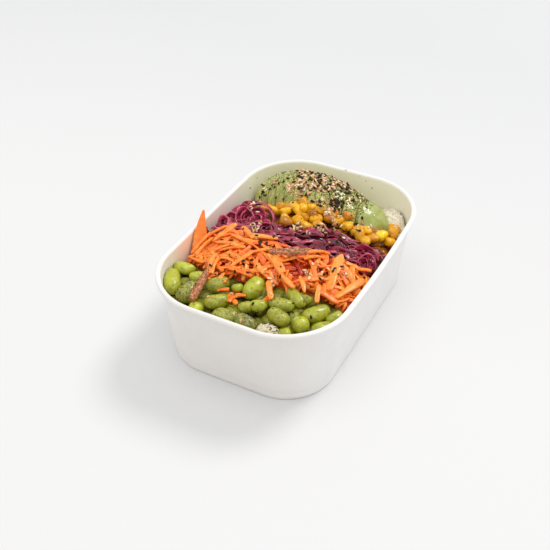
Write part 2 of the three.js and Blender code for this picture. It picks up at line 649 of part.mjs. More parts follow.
// Each kernel's middle with its height over the heap, and its turn in degrees.
const KERNELS = [
  [-25, 25, 0, 20], [-17, 29, 0, -20], [-17, 25, 0.5, 60], [-13, 17, 0.5, 10], [-9, 28, 0.5, -50],
  [-5, 19, 0.5, -35], [2, 16, 0.5, 30], [1, 29.5, 0, 70], [4, 26, 0, 10], [-6, 31, 1.5, 40],
  [12, 29, 1, -10], [21, 36, 1.5, 20], [24, 30, 0, 80], [-11, 14.5, 0.5, 15], [35, 33, 0.5, -30],
  [44, 37, 1, 60], [48, 46, 0.5, -60], [49, 38, 0, 50], [38, 24, 1, -45], [47, 50, 0, 20], [30, 30, 0, 30],
  [12, 34, 0, -60], [-31, 27, 0, -30], [40, 31, 0, 10], [-3, 25, -0.5, 80], [8, 21, -0.5, -20],
  [17, 31, -0.5, 50], [-22, 30, 0, 70], [33, 27, 0, -70],
];
const CORN_COVER = 3;

function addCorn() {
  const random = randomSource(51);
  for (const [x, y, over, yaw] of KERNELS) {
    const long = between(random, 8, 10.5);
    const shape = {
      size: [long, between(random, 6.6, 8), between(random, 4.8, 5.8)],
      taper: between(random, 0.12, 0.3),
      yaw: THREE.MathUtils.degToRad(yaw),
      pitch: between(random, -0.5, 0.5),
      roll: between(random, -0.6, 0.6),
      sides: 6,
      rows: 4,
    };
    const at = [x, y, heapTop(x, y) - 2 + over];
    addPiece("corn", (shift, grow) => blob({ ...shape, at: moved(at, shift) }, grow), at, 9);
  }
}

// ---------------------------------------------------------------- avocado

const AVOCADO_SIDES = [22, 11]; // round it and over it

// The avocado half with its cut side down; it is lower towards the right.
function avocadoHalf(scale, grow) {
  const { x, y, halfLength, halfWidth, height, fall } = AVOCADO;
  const geometry = new THREE.SphereGeometry(1, ...AVOCADO_SIDES).rotateX(Math.PI / 2);
  const whole = toSolid(
    reshape(geometry, (p) => {
      const lowering = 1 - fall * p.x;
      p.x = x + p.x * (halfLength * scale + grow);
      p.y = y + p.y * (halfWidth * scale + grow);
      p.z = TOPPING_BASE + p.z * (height * scale * lowering + grow);
    }),
  );
  const side = 2 * RIM_LENGTH;
  const above = new THREE.BoxGeometry(side, side, side).translate(0, 0, TOPPING_BASE - grow + side / 2);
  return whole.intersect(toSolid(above));
}

// Slices from right to left: the uncut end piece, then thin ones.
function avocadoSlices() {
  const random = randomSource(61);
  const right = AVOCADO.x + AVOCADO.halfLength;
  const left = AVOCADO.x - AVOCADO.halfLength;
  const slices = [];
  let edge = right + BOWL_HEIGHT;
  let next = right - END_PIECE;
  while (edge > left + SLICE_PITCH / 2) {
    const far = next - SLICE_PITCH < left ? left - BOWL_HEIGHT : next;
    const width = (edge - far) * Math.cos(SLICE_LEAN) - SLICE_GAP;
    const block = new THREE.BoxGeometry(width, RIM_WIDTH, 3 * BOWL_HEIGHT).rotateY(-SLICE_LEAN);
    block.translate((edge + far) / 2, AVOCADO.y, TOPPING_BASE);
    slices.push(largestBody(avocadoHalf(SLICE_SCALES[slices.length], 0).intersect(toSolid(block))));
    edge = far;
    next = far - SLICE_PITCH * between(random, 0.85, 1.15);
  }
  return slices;
}

// ---------------------------------------------------------------- sesame seeds

const SEED = [3.4, 2.1, 1.5];
const SEED_PATCH = { x: -4, y: 55, rx: 27, ry: 15 }; // the seeds' oval on the avocado, in the plan
const SEEDS = 22;

// A seed lies flat at a random point of its patch on the avocado's dome.
function seedOnAvocado(random) {
  const angle = between(random, 0, 2 * Math.PI);
  const reach = Math.sqrt(random());
  const x = SEED_PATCH.x + SEED_PATCH.rx * reach * Math.cos(angle);
  const y = SEED_PATCH.y + SEED_PATCH.ry * reach * Math.sin(angle);
  const ux = (x - AVOCADO.x) / AVOCADO.halfLength;
  const uy = (y - AVOCADO.y) / AVOCADO.halfWidth;
  const up = Math.sqrt(Math.max(0.05, 1 - ux * ux - uy * uy));
  const z = TOPPING_BASE + AVOCADO.height * up * (1 - AVOCADO.fall * ux) - 0.2;
  return { at: [x, y, z], yaw: between(random, 0, Math.PI), pitch: 0 };
}

function addSeeds() {
  const random = randomSource(71);
  const sliceNames = [...nodes.keys()].filter((name) => name.startsWith("avocado"));
  for (let i = 0; i < SEEDS; i += 1) {
    const seed = seedOnAvocado(random);
    const make = (shift, grow) => grain({ ...seed, size: SEED, at: moved(seed.at, shift) }, grow);
    const body = make(new THREE.Vector3(), 0);
    const touched = sliceNames.filter((name) => !body.intersect(nodes.get(name).solids[0]).isEmpty());
    if (touched.length === 1) addPiece(touched[0], make, seed.at, 1);
  }
}

// ---------------------------------------------------------------- the part

const FRONT = [[-FOOD_SIDE, FOOD_FRONT], [FOOD_SIDE, FOOD_FRONT]];
const CLEAR = GAP + 0.1;
const grownHalf = avocadoHalf(1, CLEAR);
const grownClump = ellipsoid(RICE_CLUMP, CLEAR);
addNode("bowl", bowl());
addNode("edamame", largestBody(heapCore(FRONT, BEANS_END, BEAN_COVER).subtract(grownClump)));
addNode("carrot", largestBody(heapCore(BEANS_END, CARROT_END, CARROT_COVER)));
addNode("cabbage", largestBody(heapCore(CARROT_END, CABBAGE_END, CABBAGE_COVER).subtract(grownHalf)));
addNode("corn", largestBody(heapCore(CABBAGE_END, CORN_END, CORN_COVER, CORN_LEFT).subtract(grownHalf)));
addNode("rice", riceBed());
avocadoSlices().forEach((slice, i) => addNode(`avocado_slice_${String(i + 1).padStart(2, "0")}`, slice));

addBeans();
addCarrot();
addCabbage();
addCorn();
addRiceGrains();
addSeeds();

const MATERIALS = {
  bowl: { color: 0xf2f1ed, roughness: 0.55 },
  rice: { color: 0xe9e4d4, roughness: 0.5 },
  edamame: { color: 0x9cb13a, roughness: 0.35 },
  carrot: { color: 0xee7326, roughness: 0.4 },
  cabbage: { color: 0x6d2a4c, roughness: 0.4 },
  corn: { color: 0xe8b02e, roughness: 0.35 },
  avocado: { color: 0x8ea55a, roughness: 0.4 },
};

const part = new THREE.Group();
for (const [name, { solids }] of nodes) {
  const solid = largestBody(solids.reduce((whole, piece) => whole.add(piece)));
  const { numProp, vertProperties, triVerts } = solid.getMesh();
  const positions = new Float32Array((vertProperties.length / numProp) * 3);
  for (let i = 0; i < positions.length / 3; i += 1) {
    positions.set(vertProperties.subarray(i * numProp, i * numProp + 3), i * 3);
  }
  const geometry = new THREE.BufferGeometry();
  geometry.setAttribute("position", new THREE.BufferAttribute(positions, 3));
  geometry.setIndex(new THREE.BufferAttribute(triVerts, 1));
  geometry.computeVertexNormals();
  const look = MATERIALS[name.split("_")[0]];
  const mesh = new THREE.Mesh(geometry, new THREE.MeshStandardMaterial({ ...look, metalness: 0 }));
  mesh.name = name;
  part.add(mesh);
}

export default part;
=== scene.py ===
"""The looks of the poke bowl: a white paper bowl with rice, edamame, carrot shreds, red cabbage,
corn and a fanned avocado half under sesame and herbs. Shapes are worked out in millimetres in
the CAD frame and become metres when a mesh is made."""

import math

import bpy
import numpy as np
from mathutils import Matrix, Vector
from mathutils.bvhtree import BVHTree


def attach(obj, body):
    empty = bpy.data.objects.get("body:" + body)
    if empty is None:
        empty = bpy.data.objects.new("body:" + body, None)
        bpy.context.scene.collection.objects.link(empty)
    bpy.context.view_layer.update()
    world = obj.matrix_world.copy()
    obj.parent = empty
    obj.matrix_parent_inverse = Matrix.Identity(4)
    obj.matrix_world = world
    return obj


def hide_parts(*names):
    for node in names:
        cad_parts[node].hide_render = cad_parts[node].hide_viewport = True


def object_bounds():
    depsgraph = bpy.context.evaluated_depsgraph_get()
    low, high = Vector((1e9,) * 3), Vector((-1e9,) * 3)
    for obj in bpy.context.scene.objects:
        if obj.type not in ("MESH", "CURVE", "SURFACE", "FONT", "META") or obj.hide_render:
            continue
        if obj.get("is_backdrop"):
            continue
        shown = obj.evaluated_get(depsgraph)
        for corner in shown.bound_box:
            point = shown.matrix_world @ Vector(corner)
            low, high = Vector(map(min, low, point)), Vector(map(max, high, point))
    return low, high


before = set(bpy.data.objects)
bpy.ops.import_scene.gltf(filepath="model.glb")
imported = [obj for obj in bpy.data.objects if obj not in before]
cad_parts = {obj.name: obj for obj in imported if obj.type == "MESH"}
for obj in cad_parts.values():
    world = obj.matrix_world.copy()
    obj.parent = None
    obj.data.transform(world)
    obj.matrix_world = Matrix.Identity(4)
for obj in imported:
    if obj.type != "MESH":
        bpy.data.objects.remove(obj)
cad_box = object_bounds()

MM = 0.001
TAU = math.tau
UP = np.array([0.0, 0.0, 1.0])

# ---------------- sizes of the CAD model

RIM_LENGTH, RIM_WIDTH, BOWL_HEIGHT, RIM_CORNER = 172, 118, 55, 39
BASE_LENGTH, BASE_WIDTH, BASE_CORNER = 156, 102, 30
SIDE_BOW, SIDE_DIP = 1.3, 1.4
BEAD, WALL = 1.6, 0.8
FOOT_WIDTH, FOOT_RECESS, FLOOR_FILLET = 1.8, 4, 2
GAP = 0.3
WALL_TOP = BOWL_HEIGHT - BEAD
WALL_INSET = 2 * BEAD - WALL  # from the rim's edge to the wall's outer face
FLOOR_TOP = FOOT_RECESS + WALL
RICE_TOP = 35.4
TOPPING_BASE = RICE_TOP + GAP + 0.1

# The food's height along the middle, the right wall and the left wall, as (y, z).
CROWN_LINE = [(-82, 44), (-74, 46.5), (-62, 48.5), (-48, 50), (-38, 53), (-25, 56), (-10, 57),
              (0, 55), (20, 54), (30, 55), (40, 57)]
RIGHT_LINE = [(-82, 44), (-60, 45), (-45, 44), (-30, 41), (-10, 42), (30, 41), (50, 40)]
LEFT_LINE = [(-82, 46), (-62, 49.5), (-48, 47), (-37, 44), (-27, 43), (-20, 45.5), (-14, 49),
             (-6, 49), (2, 45.5), (10, 41.5), (30, 41), (50, 40)]
HEAP_HALF_WIDTH, HEAP_ROUNDNESS = 54, 2.4

# Where each topping ends towards the back, as (x, y).
FRONT_END = [(-60, -90), (60, -90)]
BEANS_END = [(-60, -34), (-48, -35), (-36, -40), (-20, -42), (-8, -41), (2, -35.5), (14, -36),
             (24, -34.5), (34, -32), (44, -33), (60, -34)]
CARROT_END = [(-60, -18), (-50, -16), (-40, -10), (-30, -8), (-20, -9), (-8, -11), (4, -13),
              (16, -9), (26, -3), (36, -1), (46, -3), (60, -1)]
CABBAGE_END = [(-60, 33), (-46, 32), (-34, 27), (-24, 18), (-16, 8), (-6, 10), (4, 13), (14, 20),
               (24, 23), (34, 20), (40, 20), (50, 27), (60, 31)]
CORN_END = [(-40, 33), (0, 40), (30, 42), (44, 47), (60, 54)]
CORN_LEFT = -38

AVOCADO_X, AVOCADO_Y = -5, 52.5
AVOCADO_HALF = (48.5, 25, 27)
AVOCADO_FALL = 0.21
SLICE_PITCH, SLICE_LEAN = 7.6, math.radians(20)
END_PIECE = 15
SLICE_SCALES = [1, 0.93, 0.955, 0.985, 1, 0.99, 1, 0.975, 0.99, 0.97, 1]

CLUMP_MIDDLE, CLUMP_HALF = (22, -71.5, 38), (7.5, 6, 8.5)
CORNER_MIDDLE, CORNER_HALF = (42, 66, 35), (12, 13, 7)

# ---------------- numbers and fields

WAVES = 9  # the sines that one random field is made of
SPOT_TRIES = 1500  # tries to find room for the bodies underneath


def cad_random(seed):
    """The CAD source's own random numbers in 0..1, so that both make the same cuts."""
    state = seed
    mask = 0xFFFFFFFF

    def draw():
        nonlocal state
        state = (state + 0x6D2B79F5) & mask
        t = ((state ^ (state >> 15)) * (1 | state)) & mask
        t = ((t + (((t ^ (t >> 7)) * (61 | t)) & mask)) & mask) ^ t
        return ((t ^ (t >> 14)) & mask) / 4294967296

    return draw


def new_seed(random):
    return random.integers(1 << 30)


def mix(low, high, share):
    return low + (high - low) * share


def read_line(line, at):
    xs, values = zip(*line)
    return np.interp(at, xs, values)


def heap_top(x, y):
    """Height of the food's surface, before its single pieces."""
    wall = np.where(np.asarray(x) < 0, read_line(LEFT_LINE, y), read_line(RIGHT_LINE, y))
    fall = np.minimum(1, np.abs(x) / HEAP_HALF_WIDTH) ** HEAP_ROUNDNESS
    return wall + (read_line(CROWN_LINE, y) - wall) * (1 - fall)


def on_heap(place):
    """A place given as (x, y, height over the heap) in the frame."""
    x, y, over = place
    return x, y, heap_top(x, y) + over


def in_band(x, y, front_line, back_line, margin):
    """Whether a place lies in a topping's band, in from its two lines by a margin."""
    return (y > read_line(front_line, x) + margin) & (y < read_line(back_line, x) - margin)


def ripple(points, pitch, seed):
    """A smooth random field in about -1..1, with humps about pitch apart."""
    random = np.random.default_rng(seed)
    ways = random.normal(size=(WAVES, 3))
    ways /= np.linalg.norm(ways, axis=1)[:, None]
    lengths = pitch * random.uniform(0.7, 1.6, WAVES)
    phases = random.uniform(0, TAU, WAVES)
    humps = np.sin(points @ (ways * (TAU / lengths)[:, None]).T + phases)
    return humps.sum(axis=1) / math.sqrt(WAVES)


def shifts(points, pitch, seeds):
    """A ripple for each of the three directions, to push points by."""
    return np.stack([ripple(points, pitch, seed) for seed in seeds], 1)


def turn(yaw, pitch, roll):
    """Rotation matrix: roll about X, then nose up by pitch, then yaw about Z."""
    rotation = (Matrix.Rotation(yaw, 3, "Z") @ Matrix.Rotation(-pitch, 3, "Y")
                @ Matrix.Rotation(roll, 3, "X"))
    return np.array(rotation)


def upright(normal, yaw, tilt):
    """A rotation that lays a thing flat on a surface, turned by yaw and tipped by tilt."""
    z = normal / np.linalg.norm(normal)
    x = np.cross(z, [math.sin(yaw), -math.cos(yaw), 0.01])
    x /= np.linalg.norm(x)
    y = np.cross(z, x)
    c, s = math.cos(tilt), math.sin(tilt)
    return np.column_stack([x * c + z * s, y, z * c - x * s])


def in_oval(random, x, y, half_x, half_y):
    """A random place in an oval."""
    angle, reach = random.uniform(0, TAU), math.sqrt(random.uniform(0, 1))
    return x + half_x * reach * math.cos(angle), y + half_y * reach * math.sin(angle)


def in_area(random, area):
    """A random place in an area, given as its ranges along X and Y."""
    return random.uniform(*area[0]), random.uniform(*area[1])


def free_spots(random, taken, most, area, fits, apart):
    """Random places in an area that fit and lie apart from those taken, until most are taken."""
    for _ in range(SPOT_TRIES):
        if len(taken) >= most:
            return
        spot = np.array(in_area(random, area))
        if fits(*spot) and np.min(np.hypot(*(np.array(taken) - spot).T)) >= apart:
            yield spot


# ---------------- joined meshes


class Batch:
    """Many bodies joined in one mesh. Each body has a tint and a mark, both 0..1, that its
    material reads."""

    def __init__(self):
        self.points, self.tints, self.marks = [], [], []
        self.faces = []
        self.count = 0

    def add(self, points, faces, tint=0.5, mark=0.0):
        self.points.append(points)
        self.tints.append(np.broadcast_to(tint, len(points)))
        self.marks.append(np.broadcast_to(mark, len(points)))
        self.faces.extend([[i + self.count for i in face] for face in faces])
        self.count += len(points)

    def all_points(self):
        return np.vstack(self.points)


def mesh_object(name, batch, material, node=None, slot=None):
    """The batch as an object in metres. It stands for a CAD node where one is named."""
    mesh = bpy.data.meshes.new(name)
    mesh.from_pydata((batch.all_points() * MM).tolist(), [], batch.faces)
    for key, values in (("tint", batch.tints), ("mark", batch.marks)):
        layer = mesh.attributes.new(key, "FLOAT", "POINT")
        layer.data.foreach_set("value", np.concatenate(values).astype(np.float32))
    mesh.polygons.foreach_set("use_smooth", [True] * len(mesh.polygons))
    mesh.materials.append(material)
    mesh.update()
    piece = bpy.data.objects.new(name, mesh)
    bpy.context.scene.collection.objects.link(piece)
    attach(piece, "root")
    if node:
        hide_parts(node)


def skin_faces(rings, around, flip=False):
    """Faces of a closed skin: a first point, rings of around points each, and a last point."""
    last = 1 + rings * around
    faces = []
    for j in range(around):
        k = (j + 1) % around
        a, b = (k, j) if flip else (j, k)
        faces.append((0, 1 + a, 1 + b))
        faces.append((last, last - around + b, last - around + a))
        for low in range(1, last - around, around):
            high = low + around
            if flip:
                faces.append((low + j, low + k, high + k, high + j))
            else:
                faces.append((low + j, high + j, high + k, low + k))
    return faces


def ball(sides, rows):
    """Unit ball with its poles on the X axis: points and outward faces."""
    ring = [(math.cos(a), math.sin(a) * math.cos(b), math.sin(a) * math.sin(b))
            for a in np.linspace(0, np.pi, rows + 1)[1:-1]
            for b in np.linspace(0, TAU, sides, endpoint=False)]
    return np.array([(1, 0, 0), *ring, (-1, 0, 0)], float), skin_faces(rows - 1, sides)


def placed(points, at, spin):
    return points @ spin.T + np.asarray(at)


def rounded_section(sides, squareness):
    """A closed outline of a strand's section, in half widths and half thicknesses."""
    angles = np.linspace(0, TAU, sides, endpoint=False) + np.pi / sides
    parts = (np.cos(angles), np.sin(angles))
    return np.stack([np.sign(part) * np.abs(part) ** squareness for part in parts], 1)


def strand(path, width, thick, roll, section, curl):
    """A strand along a path, closed at both ends. Width, thickness, roll and curl may vary."""
    n, k = len(path), len(section)
    width, thick, roll, curl = (np.broadcast_to(v, n)[:, None] for v in (width, thick, roll, curl))
    ahead = np.gradient(path, axis=0)
    ahead /= np.linalg.norm(ahead, axis=1)[:, None]
    side = np.cross(UP, ahead)
    steep = np.linalg.norm(side, axis=1) < 0.15
    side[steep] = np.cross([0.0, 1.0, 0.3], ahead[steep])
    side /= np.linalg.norm(side, axis=1)[:, None]
    for i in range(1, n):
        if side[i] @ side[i - 1] < 0:
            side[i] = -side[i]
    up = np.cross(ahead, side)
    across = side * np.cos(roll) + up * np.sin(roll)
    high = up * np.cos(roll) - side * np.sin(roll)
    u = section[None, :, 0] * width / 2
    v = section[None, :, 1] * thick / 2
    v = v + curl * (section[None, :, 0] ** 2 - 0.4) * width / 2
    points = path[:, None, :] + across[:, None, :] * u[..., None] + high[:, None, :] * v[..., None]
    faces = [tuple(range(k))[::-1], tuple(range((n - 1) * k, n * k))]
    for i in range(n - 1):
        for j in range(k):
            m = (j + 1) % k
            faces.append((i * k + j, i * k + m, (i + 1) * k + m, (i + 1) * k + j))
    return points.reshape(-1, 3), faces


def end_steps(count):
    """Shares along a strand, with a short step at each end that rounds the cut."""
    return np.concatenate([[0, 0.012], np.linspace(0.09, 0.91, count - 4), [0.988, 1]])


def arched(start, end, rise, swing, share):
    """Points at shares of the way from start to end that rise and swing by the middle."""
    start, end = np.asarray(start, float), np.asarray(end, float)
    share = share[:, None]
    sideways = np.array([start[1] - end[1], end[0] - start[0], 0])
    sideways /= np.linalg.norm(sideways)
    hump = 4 * share * (1 - share)
    return start + (end - start) * share + sideways * swing * hump + UP * rise * hump


def wave(random, share, least, most, phase=6):
    """A sine along a strand with a random number of turns, in radians."""
    return np.sin(share * random.uniform(least, most) + random.uniform(0, phase))


def bowed(x, y, yaw, t, half, off):
    """A path in the plan through (x, y): t runs from -1 to 1 along it and off is to its left."""
    c, s = math.cos(yaw), math.sin(yaw)
    return np.stack([x + t * half * c - off * s, y + t * half * s + off * c], 1)


# ---------------- materials


class Look:
    """A procedural material on a Principled shader, in the object's own coordinates. Sizes of
    noise and depths are in millimetres."""

    def __init__(self, name, roughness=0.5, specular=0.5, subsurface=0.0, depth=1.0,
                 spread=(1.0, 0.5, 0.25), coat=0.0):
        self.material = bpy.data.materials.new(name)
        self.material.use_nodes = True
        self.tree = self.material.node_tree
        self.shader = self.tree.nodes["Principled BSDF"]
        self.place = self.add("ShaderNodeTexCoord").outputs["Object"]
        values = {"Roughness": roughness, "Specular IOR Level": specular}
        if subsurface:
            values |= {"Subsurface Weight": subsurface, "Subsurface Radius": spread,
                       "Subsurface Scale": depth * MM}
        if coat:
            values |= {"Coat Weight": coat, "Coat Roughness": 0.12}
        for key, value in values.items():
            self.shader.inputs[key].default_value = value

    def add(self, kind, **settings):
        node = self.tree.nodes.new(kind)
        for key, value in settings.items():
            setattr(node, key, value)
        return node

    def link(self, output, socket):
        self.tree.links.new(output, socket)

    def noise(self, size, detail, roughness=0.55, stretch=(1, 1, 1)):
        """Noise in 0..1 with features of about this size."""
        spread = self.add("ShaderNodeMapping")
        spread.inputs["Scale"].default_value = [s / (size * MM) for s in stretch]
        self.link(self.place, spread.inputs["Vector"])
        node = self.add("ShaderNodeTexNoise")
        for key, value in (("Scale", 1.0), ("Detail", detail), ("Roughness", roughness)):
            node.inputs[key].default_value = value
        self.link(spread.outputs["Vector"], node.inputs["Vector"])
        return node.outputs["Fac"]

    def value(self, name):
        return self.add("ShaderNodeAttribute", attribute_name=name).outputs["Fac"]

    def axis(self, name):
        node = self.add("ShaderNodeSeparateXYZ")
        self.link(self.place, node.inputs["Vector"])
        return node.outputs[name]

    def ramp(self, factor, *stops):
        """Colours or greys at positions, as (position, value)."""
        node = self.add("ShaderNodeValToRGB")
        band = node.color_ramp
        while len(band.elements) < len(stops):
            band.elements.new(0.5)
        for element, (position, colour) in zip(band.elements, stops):
            element.position = position
            grey = isinstance(colour, (int, float))
            element.color = (colour, colour, colour, 1) if grey else (*colour, 1)
        self.link(factor, node.inputs["Fac"])
        return node.outputs["Color"]

    def tinted(self, *stops):
        return self.ramp(self.value("tint"), *stops)

    def mottled(self, noise, *stops):
        return self.ramp(self.noise(*noise), *stops)

    def blend(self, factor, a, b, kind="MIX"):
        node = self.add("ShaderNodeMix", data_type="RGBA", blend_type=kind)
        for value, index in ((factor, 0), (a, 6), (b, 7)):
            if isinstance(value, bpy.types.NodeSocket):
                self.link(value, node.inputs[index])
            elif index == 0:
                node.inputs[index].default_value = value
            else:
                node.inputs[index].default_value = (*value, 1)
        return node.outputs[2]

    def times(self, a, b):
        return self.blend(1.0, a, b, "MULTIPLY")

    def finish(self, colour, grain, depth, strength, sheen, gloss):
        """Connects the colour, a bump from noise of this grain, and a roughness between the
        two values of gloss."""
        self.link(colour, self.shader.inputs["Base Color"])
        bump = self.add("ShaderNodeBump")
        bump.inputs["Strength"].default_value = strength
        bump.inputs["Distance"].default_value = depth * MM
        self.link(self.noise(*grain), bump.inputs["Height"])
        self.link(bump.outputs["Normal"], self.shader.inputs["Normal"])
        grey = self.mottled(sheen, (0.3, gloss[0]), (0.7, gloss[1]))
        self.link(grey, self.shader.inputs["Roughness"])
        return self.material


# Painted shade on the outer front wall.
FRONT_SHADE = (-0.080, -0.066)  # the paper is darker from here to there along Y, in metres


def paper_look():
    """White paper; the tint makes the inside yellowish, the mark paints the carrots' bounce light
    on the wall beside them, and a ramp along Y paints shade on the outer front wall.
    """
    look = Look("paper_white", roughness=0.5, specular=0.3)
    base = look.mottled((14, 4), (0.3, (0.86, 0.845, 0.825)), (0.7, (0.89, 0.88, 0.86)))
    base = look.blend(look.value("tint"), base, (1.0, 0.955, 0.80))
    base = look.blend(look.value("mark"), base, (0.99, 0.70, 0.48))
    base = look.times(base, look.mottled((0.9, 3), (0.3, 0.97), (0.7, 1.0)))
    # Painted shade: the outer front wall is darker, as if it faced away from the light.
    front = look.add("ShaderNodeMapRange")
    for key, value in zip(("From Min", "From Max"), FRONT_SHADE):
        front.inputs[key].default_value = value
    look.link(look.axis("Y"), front.inputs["Value"])
    shade = look.ramp(front.outputs["Result"], (0.0, (0.935, 0.915, 0.89)), (1.0, (1, 1, 1)))
    return look.finish(look.times(base, shade), grain=(0.5, 5), depth=0.04, strength=0.35,
                       sheen=(5, 4), gloss=(0.42, 0.58))


def rice_look():
    look = Look("rice_cooked", specular=0.4, subsurface=0.12, depth=0.5, spread=(1.0, 0.8, 0.6))
    base = look.tinted((0.0, (0.62, 0.52, 0.33)), (0.5, (0.82, 0.74, 0.55)),
                       (1.0, (0.93, 0.88, 0.75)))
    base = look.times(base, look.mottled((1.4, 3), (0.35, 0.88), (0.65, 1.0)))
    return look.finish(base, grain=(0.6, 3), depth=0.08, strength=0.5,
                       sheen=(1.5, 3), gloss=(0.3, 0.5))


def bean_look():
    """Edamame skin; the mark says how much ground pepper clings to a bean."""
    look = Look("edamame_skin", specular=0.45, subsurface=0.25, depth=1.8,
                spread=(0.8, 0.9, 0.2), coat=0.15)
    base = look.tinted((0.0, (0.092, 0.09, 0.006)), (0.3, (0.258, 0.265, 0.013)),
                       (0.55, (0.395, 0.42, 0.02)), (1.0, (0.575, 0.63, 0.05)))
    base = look.times(base, look.mottled((5, 4), (0.32, (0.70, 0.66, 0.5)), (0.5, (1, 1, 1)),
                                         (0.75, (1.28, 1.12, 1.3))))
    veins = look.mottled((2.6, 5, 0.65), (0.36, 0.55), (0.50, 1.0))
    base = look.blend(0.5, base, look.times(base, veins))
    pale = look.mottled((3.4, 3), (0.56, 0.0), (0.68, 0.45))
    base = look.blend(pale, base, (0.62, 0.66, 0.20))
    speck = look.mottled((0.7, 5, 0.7), (0.42, 1.0), (0.54, 0.0))
    pepper = look.mottled((0.9, 2), (0.4, (0.05, 0.045, 0.02)), (0.6, (0.34, 0.30, 0.17)))
    base = look.blend(look.times(look.value("mark"), speck), base, pepper)
    return look.finish(base, grain=(1.8, 4), depth=0.12, strength=0.5,
                       sheen=(2.5, 3), gloss=(0.2, 0.42))


def carrot_look():
    look = Look("carrot_flesh", specular=0.45, subsurface=0.25, depth=0.8,
                spread=(1.0, 0.45, 0.2), coat=0.25)
    base = look.tinted((0.0, (0.42, 0.02, 0.003)), (0.35, (0.95, 0.16, 0.007)),
                       (0.7, (1.0, 0.28, 0.018)), (1.0, (1.0, 0.40, 0.06)))
    base = look.times(base, look.mottled((2.4, 4), (0.32, (0.90, 0.74, 0.6)), (0.55, (1, 1, 1)),
                                         (0.8, (1.0, 1.15, 1.3))))
    fibre = look.mottled((1.1, 4, 0.6), (0.34, (1.0, 0.80, 0.7)), (0.6, (1, 1, 1)))
    return look.finish(look.times(base, fibre), grain=(0.9, 4), depth=0.12, strength=0.5,
                       sheen=(2, 3), gloss=(0.28, 0.5))


def seasoned_look():
    """Ground spices baked on: brown pink with cream grains and dark gaps."""
    look = Look("carrot_seasoned", roughness=0.6, specular=0.3)
    base = look.mottled((1.3, 5, 0.75), (0.34, (0.06, 0.02, 0.008)), (0.43, (0.36, 0.11, 0.045)),
                        (0.56, (0.63, 0.23, 0.09)), (0.66, (0.88, 0.55, 0.30)))
    return look.finish(base, grain=(0.7, 4), depth=0.3, strength=0.8,
                       sheen=(1.2, 3), gloss=(0.45, 0.7))


def cabbage_look():
    look = Look("red_cabbage", specular=0.45, subsurface=0.2, depth=0.5,
                spread=(1.0, 0.4, 0.5), coat=0.3)
    base = look.tinted((0.0, (0.085, 0.002, 0.012)), (0.4, (0.24, 0.008, 0.036)),
                       (0.75, (0.46, 0.026, 0.085)), (1.0, (0.70, 0.15, 0.25)))
    base = look.times(base, look.mottled((3.0, 4), (0.32, (0.55, 0.38, 0.45)), (0.52, (1, 1, 1)),
                                         (0.78, (1.4, 1.6, 1.4))))
    return look.finish(base, grain=(1.2, 4), depth=0.14, strength=0.5,
                       sheen=(2, 3), gloss=(0.2, 0.42))


def corn_look():
    """Kernel skin; the mark says how much of it is toasted."""
    look = Look("corn_skin", specular=0.4, subsurface=0.25, depth=1.4,
                spread=(1.0, 0.5, 0.1), coat=0.12)
    base = look.tinted((0.0, (0.26, 0.06, 0.002)), (0.4, (0.70, 0.31, 0.003)),
                       (0.75, (0.92, 0.52, 0.004)), (1.0, (0.98, 0.68, 0.010)))
    base = look.times(base, look.mottled((3, 3), (0.35, (0.88, 0.74, 0.5)), (0.6, (1, 1, 1))))
    scorch = look.mottled((2.4, 4, 0.6), (0.42, 1.0), (0.58, 0.0))
    base = look.blend(look.times(look.value("mark"), scorch), base, (0.33, 0.10, 0.015))
    return look.finish(base, grain=(2.0, 4), depth=0.12, strength=0.5,
                       sheen=(2, 3), gloss=(0.2, 0.4))


def avocado_look():
    """Flesh with streaks along the cuts; the tint is its herb dust, the mark its smoothness."""
    look = Look("avocado_flesh", specular=0.5, subsurface=0.25, depth=1.8,
                spread=(0.8, 0.8, 0.25), coat=0.5)
    base = look.mottled((2.6, 4, 0.6, (1.5, 0.6, 0.3)), (0.30, (0.23, 0.25, 0.03)),
                        (0.44, (0.40, 0.44, 0.07)), (0.58, (0.52, 0.55, 0.125)),
                        (0.74, (0.68, 0.65, 0.20)))
    smooth = look.mottled((6, 3), (0.35, (0.30, 0.355, 0.07)), (0.65, (0.41, 0.45, 0.115)))
    base = look.blend(look.value("mark"), base, smooth)
    fleck = look.mottled((0.9, 5, 0.7), (0.40, 1.0), (0.56, 0.0))
    dust = look.mottled((1.6, 2), (0.4, (0.12, 0.09, 0.012)), (0.6, (0.32, 0.23, 0.06)))
    base = look.blend(look.times(look.value("tint"), fleck), base, dust)
    return look.finish(base, grain=(1.3, 5), depth=0.22, strength=0.5,
                       sheen=(2.5, 3), gloss=(0.24, 0.46))


def seed_look(name, specular, *stops):
    look = Look(name, specular=specular)
    base = look.times(look.tinted(*stops), look.mottled((0.7, 3), (0.3, 0.85), (0.7, 1.0)))
    return look.finish(base, grain=(0.4, 3), depth=0.05, strength=0.5,
                       sheen=(0.8, 2), gloss=(0.35, 0.6))


def core_look(name, dark, light):
    """Painted shade: deep colours for what shows between the pieces of a heap."""
    look = Look(name, specular=0.4)
    base = look.mottled((3, 5, 0.6), (0.32, dark), (0.7, light))
    return look.finish(base, grain=(1, 4), depth=0.3, strength=0.7, sheen=(3, 3), gloss=(0.35, 0.6))


def floor_look():
    look = Look("studio_floor", roughness=0.75, specular=0.15)
    # Painted falloff of the light: the floor is darker towards the back.
    base = look.ramp(look.axis("Y"), (0.0, (0.728, 0.728, 0.728)), (0.40, (0.655, 0.660, 0.668)))
    base = look.times(base, look.mottled((400, 2), (0.3, 0.99), (0.7, 1.0)))
    return look.finish(base, grain=(3, 3), depth=0.05, strength=0.1,
                       sheen=(60, 3), gloss=(0.7, 0.8))


# ---------------- the bowl

BOWL_STEPS = (26, 28, 14)  # on half a long side, round a corner, on half a short side
FOOT_EDGE = 0.25  # edges of the folded skirt are rounded by this
CRIMP = 4.6  # the base joint shows as a shallow line round the wall at this height
